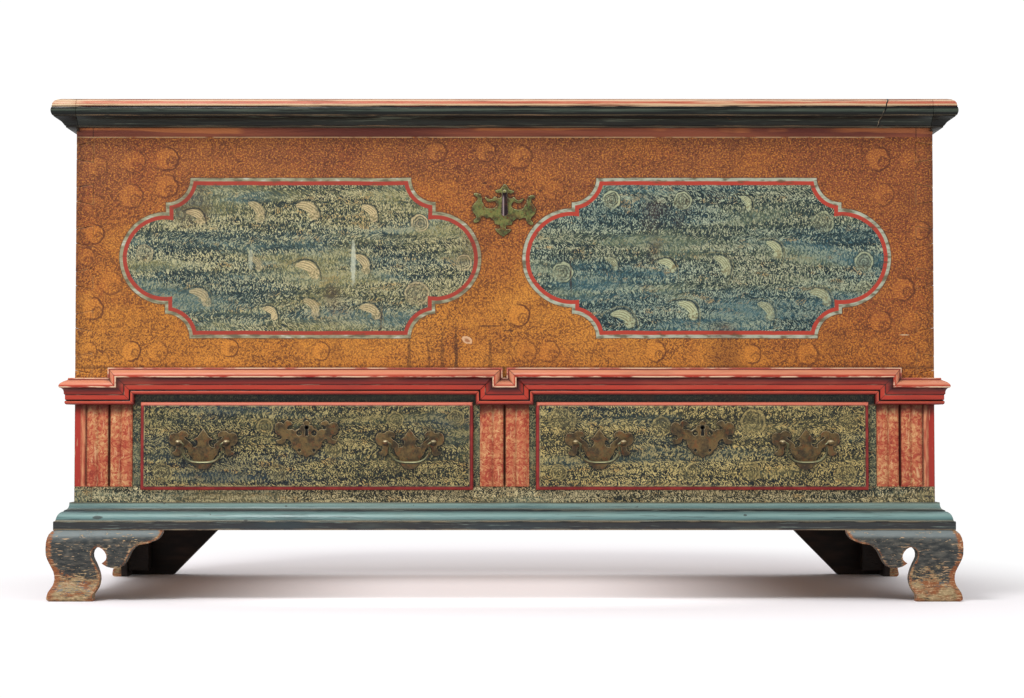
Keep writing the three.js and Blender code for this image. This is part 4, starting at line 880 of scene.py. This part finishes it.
# The scarf is a thin slanting joint in the right half of the edge and the moulding
scarf = paint.x - paint.z * 0.31 + paint.wander(0.005, 0.008)
on_front = paint.y.rise(0.0, -0.01)
scarf_light = scarf.near(0.3268, 0.0006) * lid_rub.rise(0.4, 0.55) * on_front
underside = upward.rise(-0.9, -0.97) * paint.z.rise(edge_foot - 0.0008, edge_foot - 0.0003)
lid_wood = paint.noise(0.012, (14, 1, 1), detail=4.0, roughness=0.6, twist=0.8)
lid_bare = paint.ramp(lid_wood, (0.3, 104, 74, 46), (0.7, 158, 120, 78))
lid_colour = paint.lay(
    lid_edge,
    (paint.z.rise(edge_foot + 0.0004, edge_foot - 0.0003), green_black_and_light),
    # Painted shade in the grooves of the mouldings
    (paint.hollow(0.01, 0.08, 0.35) * 0.85, tint(10, 11, 10)),
    (scarf_light * 0.7, tint(180, 160, 130)),
    (scarf.near(0.328, 0.0015) * on_front, tint(8, 8, 7)),
    (underside, lid_bare),
)
lid_relief = paint.noise(0.0025, (6, 6, 1), detail=3.0)
lid_coat = paint.coat(lid_colour, 0.22 + lid_rub * 0.3, lid_relief, 0.0004, gloss=0.22)
for name in ("lid_board", "lid_front_moulding", "lid_batten_left", "lid_batten_right"):
    eased(name, lid_coat, rounding=0.0006)


# The ironwork is forged: strap hinges nailed under the lid and on the back, the locks, the keeper
# and the drop that covers the keyhole. It has a dark brown skin of old rust and wax.

iron = Finish("forged_iron")
hammered = iron.noise(0.008, detail=3.0)
# Painted highlights: lighter arrises and left-facing sides, and a painted glint down the left of the
# keyhole drop
painted_glint = iron.x.near(-0.0018, 0.0015) * iron.y.rise(-0.2605, -0.262) * iron.z.rise(0.585, 0.578)
rust = iron.noise(0.02, detail=4.0, roughness=0.7)
iron_colour = iron.lay(
    tint(44, 34, 36),
    (rust.rise(0.45, 0.7), tint(84, 54, 44)),
    (iron.arris(0.0012, 0.25, 0.45) * 0.7, tint(150, 130, 130)),
    (iron.facing[0].rise(-0.3, -0.75) * 0.75, tint(176, 156, 156)),
    (painted_glint * 0.6, tint(186, 166, 164)),
)
iron_coat = iron.coat(iron_colour, 0.3 + rust * 0.4, hammered, 0.0006, metallic=0.75)
for side in ("left", "right"):
    repaint(f"hinge_leaf_{side}", iron_coat)
    repaint(f"hinge_strap_{side}", iron_coat)
for name in ("chest_lock", "lock_keeper"):
    repaint(name, iron_coat)
eased("keyhole_cover", iron_coat, rounding=0.0011, steps=3)


# The keyhole plate of the chest is cast brass, pierced and filed, with a green skin. The drawers
# have brown-gold brasses: a keyhole plate each, and pulls whose bails hang in ball-headed posts.

def cast_brass(name, bright, brown, green, green_share, rim):
    """Cast brass, dark in its hollows, with painted highlights on its upper faces and rubbed rims and
    painted shade below.
    """
    brass = Finish(name)
    upward = brass.facing[2]
    cloud = brass.noise(0.012, detail=4.0, roughness=0.65)
    skin = brass.noise(0.004, detail=3.0, roughness=0.6)
    stain = brass.noise(0.009, detail=4.0, roughness=0.7).rise(0.52, 0.62)
    pit = brass.noise(0.0026, detail=3.0, roughness=0.6).rise(0.6, 0.68)
    # Upper rims rubbed bright, lightened further as a painted highlight
    rubbed_rim_highlight = brass.arris(0.0016, 0.15, 0.38) * skin.rise(0.35, 0.55) * upward.rise(-0.3, 0.4)
    colour = brass.lay(
        brown,
        (cloud.rise(0.38, 0.62), bright),
        (skin.rise(0.62 - green_share, 0.75 - green_share) * 0.8, green),
        (stain * 0.5, tint(116, 62, 24)),
        (pit * 0.7, tint(30, 26, 16)),
        (brass.hollow(0.004, 0.15, 0.5) * 0.85, tint(24, 20, 14)),
        # Painted light on upward faces and painted shade on downward faces
        (upward.rise(0.15, 0.6) * 0.8, rim),
        (upward.rise(-0.1, -0.6) * 0.8, tint(34, 28, 18)),
        (rubbed_rim_highlight, rim),
    )
    relief = brass.noise(0.002, detail=3.0)
    return brass.coat(colour, 0.3 + cloud * 0.25, relief, 0.0005, metallic=0.5, gloss=0.6)


# Each brass: bright, brown and green tones, how much green, and the colour of its painted highlight
green_brass = cast_brass(
    "green_cast_brass", tint(124, 122, 64), tint(66, 58, 30), tint(88, 108, 54), 0.12, tint(206, 204, 150)
)
brown_brass = cast_brass(
    "brown_cast_brass", tint(108, 86, 48), tint(58, 46, 27), tint(82, 76, 48), 0.06, tint(206, 190, 148)
)
bail_brass = cast_brass(
    "bail_cast_brass", tint(84, 80, 48), tint(54, 50, 30), tint(64, 74, 50), 0.1, tint(166, 166, 124)
)
chest_plate = eased("chest_escutcheon", green_brass, rounding=0.0011)
pin_height, plate_lean = 0.588811, math.radians(2.3)
pin = Matrix.Translation((0, 0, pin_height))
chest_plate.data.transform(pin @ Matrix.Rotation(plate_lean, 4, "Y") @ pin.inverted())


# Each drawer is a dovetailed softwood box whose front laps over the case. The lip ends in a bead
# painted crimson, and the face inside it is dabbed in blue and olive like the panels.

drawer_middle, lip_back, lip_width = 0.2847, -0.257, 0.0054
keyhole_level, keyhole_half, keyhole_foot = 0.2478, 0.0038, 0.0122
drawer_prints = {
    "left": [
        (-492, 183, 15), (-471, 213, 12), (-345, 249, 13), (-327, 183, 14), (-246, 217, 14),
        (-157, 259, 13), (-159, 194, 14), (-70, 261, 13),
    ],
    "right": [
        (83, 256, 22), (225, 249, 16), (358, 256, 20), (264, 183, 15), (354, 185, 15),
        (491, 181, 16), (494, 254, 15), (78, 183, 13),
    ],
}
drawer_looks = {
    "left": (tint(180, 166, 112), tint(74, 78, 48), tint(42, 64, 72), tint(7, 14, 18)),
    "right": (tint(204, 184, 120), tint(98, 92, 54), tint(54, 76, 74), tint(10, 18, 20)),
}
for side, sign in (("left", -1), ("right", 1)):
    for part in ("side_left", "side_right"):
        repaint(f"drawer_{side}_{part}", softwood_deep)
    for part in ("back", "bottom"):
        repaint(f"drawer_{side}_{part}", softwood_along)
    repaint(f"drawer_{side}_lock", iron_coat)

    face = Finish(f"dabbed_drawer_{side}")
    cream, olive, blue, navy = drawer_looks[side]
    drawn = mottled_field(face, cream, olive, blue, navy, 0.0125)
    drawn = stamped(face, drawn, Print(face), tint(158, 140, 88), tint(104, 98, 56), navy, 0.7)
    low, high = (Vector(corner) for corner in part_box(f"drawer_{side}_front"))
    middle = (low + high) / 2
    rim_across = (high.x - low.x) / 2 - abs(face.x - middle.x)
    rim_up = (high.z - low.z) / 2 - abs(face.z - middle.z)
    rim = rim_across.lower(rim_up)
    crimson = face.lay(
        tint(132, 34, 34),
        (face.noise(0.02, detail=3.0).rise(0.4, 0.7), tint(160, 52, 46)),
        # A painted highlight along the top of the lip
        (face.z.rise(high.z - 0.006, high.z - 0.004), tint(216, 120, 96)),
    )
    arris = rim.rise(lip_width - 0.0006, lip_width) * rim.rise(lip_width + 0.0014, lip_width + 0.0006)
    arris = arris * face.noise(0.01, detail=3.0).rise(0.4, 0.6)
    # Painted shade on the face close round the brasses and the case
    painted_contact_shade = face.hollow(0.008, 0.05, 0.24, alone=False)
    painted_contact_shade = painted_contact_shade.higher(face.hollow(0.005, 0.05, 0.2, alone=False))
    # The keyhole slot is painted near-black, as the shade inside the hole
    key_across, key_up = abs(face.x - sign * drawer_middle), face.z - keyhole_level
    keyhole = key_across.rise(keyhole_half + 0.0002, keyhole_half)
    keyhole = keyhole * key_up.rise(-keyhole_foot - 0.0004, -keyhole_foot)
    keyhole = keyhole * key_up.rise(keyhole_half + 0.0002, keyhole_half)
    drawn = face.lay(
        drawn,
        (rim.rise(lip_width + 0.0004, lip_width - 0.0004), crimson),
        (arris * 0.8, tint(176, 160, 118)),
        (painted_contact_shade * 0.85, tint(14, 14, 10)),
        (keyhole, tint(8, 7, 6)),
        (face.y.rise(lip_back - 0.0005, lip_back + 0.0005), inner_wood(face, (14, 1, 1))),
    )
    face_relief = face.noise(0.0016, (5, 1, 1), detail=2.0)
    face_coat = face.coat(drawn, 0.45, face_relief, 0.0003)
    pressed = [(*place, 3) for place in drawer_prints[side]]
    eased(f"drawer_{side}_front", face_coat, rounding=0.0004, prints=pressed, cell=0.012)

    eased(f"drawer_{side}_escutcheon", brown_brass, rounding=0.0011)
    for hand in ("left", "right"):
        eased(f"drawer_{side}_pull_{hand}_plate", brown_brass, rounding=0.0011)
        eased(f"drawer_{side}_pull_{hand}_bail", bail_brass, rounding=0)


# The studio: a pale floor that runs out to white and glows under the chest as a painted pool of light,
# a broad soft light from the front and above, and the camera low in front of the chest.

floor_reach, tent_strength, camera_tilt = 12, 1.35, math.radians(2.03)
camera_place, key_place, key_target = (0.0107, -3.339, 0.252), (-1.3, -1.9, 3.0), (0, -0.1, 0.3)
floor_mesh = bpy.data.meshes.new("studio_floor")
sheet = bmesh.new()
bmesh.ops.create_grid(sheet, x_segments=1, y_segments=1, size=floor_reach)
sheet.to_mesh(floor_mesh)
sheet.free()
floor = bpy.data.objects.new("studio_floor", floor_mesh)
bpy.context.scene.collection.objects.link(floor)
paper = Finish("studio_paper")
far = (paper.x * paper.x + paper.y * paper.y * 0.5).root().rise(0.6, 1.08)
# A painted pool of light: the floor glows under the chest between the feet
painted_light_under_chest = abs(paper.x + 0.03).rise(0.52, 0.1) * paper.y.rise(0.42, 0.0) * paper.y.rise(-0.44, -0.2)
white, black = (1.0, 1.0, 1.0, 1.0), (0.0, 0.0, 0.0, 1.0)
sheet_colour = paper.blend(far, tint(250, 246, 249), black)
glow = paper.blend(far, paper.blend(painted_light_under_chest * 0.66, black, tint(254, 250, 253)), white)
floor_mesh.materials.append(paper.coat(sheet_colour, 0.9, gloss=0.0, glow=glow))

world = bpy.data.worlds.new("studio")
world.use_nodes = True
sky = world.node_tree
look = sky.nodes.new("ShaderNodeTexCoord")
split = sky.nodes.new("ShaderNodeSeparateXYZ")
tent = sky.nodes.new("ShaderNodeValToRGB")
walls = ((0.0, 0.78), (0.2, 0.78), (0.32, 0.16), (0.6, 0.16), (0.8, 1.0), (1.0, 1.0))
for index, (height, light) in enumerate(walls):
    stop = tent.color_ramp.elements[index] if index < 2 else tent.color_ramp.elements.new(height)
    stop.position = height
    stop.color = (light, light, light, 1)
sky.links.new(look.outputs["Generated"], split.inputs[0])
sky.links.new(split.outputs["Z"], tent.inputs[0])
sky.links.new(tent.outputs["Color"], sky.nodes["Background"].inputs["Color"])
sky.nodes["Background"].inputs["Strength"].default_value = tent_strength
bpy.context.scene.world = world

lamp = bpy.data.lights.new("key", "AREA")
lamp.shape = "RECTANGLE"
lamp.size, lamp.size_y = 1.3, 0.8
lamp.energy = 62
softbox = bpy.data.objects.new("key", lamp)
softbox.location = key_place
softbox.rotation_euler = (Vector(key_target) - Vector(key_place)).to_track_quat("-Z", "Y").to_euler()
bpy.context.scene.collection.objects.link(softbox)

lens = bpy.data.cameras.new("camera")
lens.lens = 75
camera = bpy.data.objects.new("camera", lens)
camera.location = camera_place
camera.rotation_euler = (math.radians(90) + camera_tilt, 0, 0)
bpy.context.scene.collection.objects.link(camera)
bpy.context.scene.camera = camera
bpy.context.scene.view_settings.view_transform = "Standard"
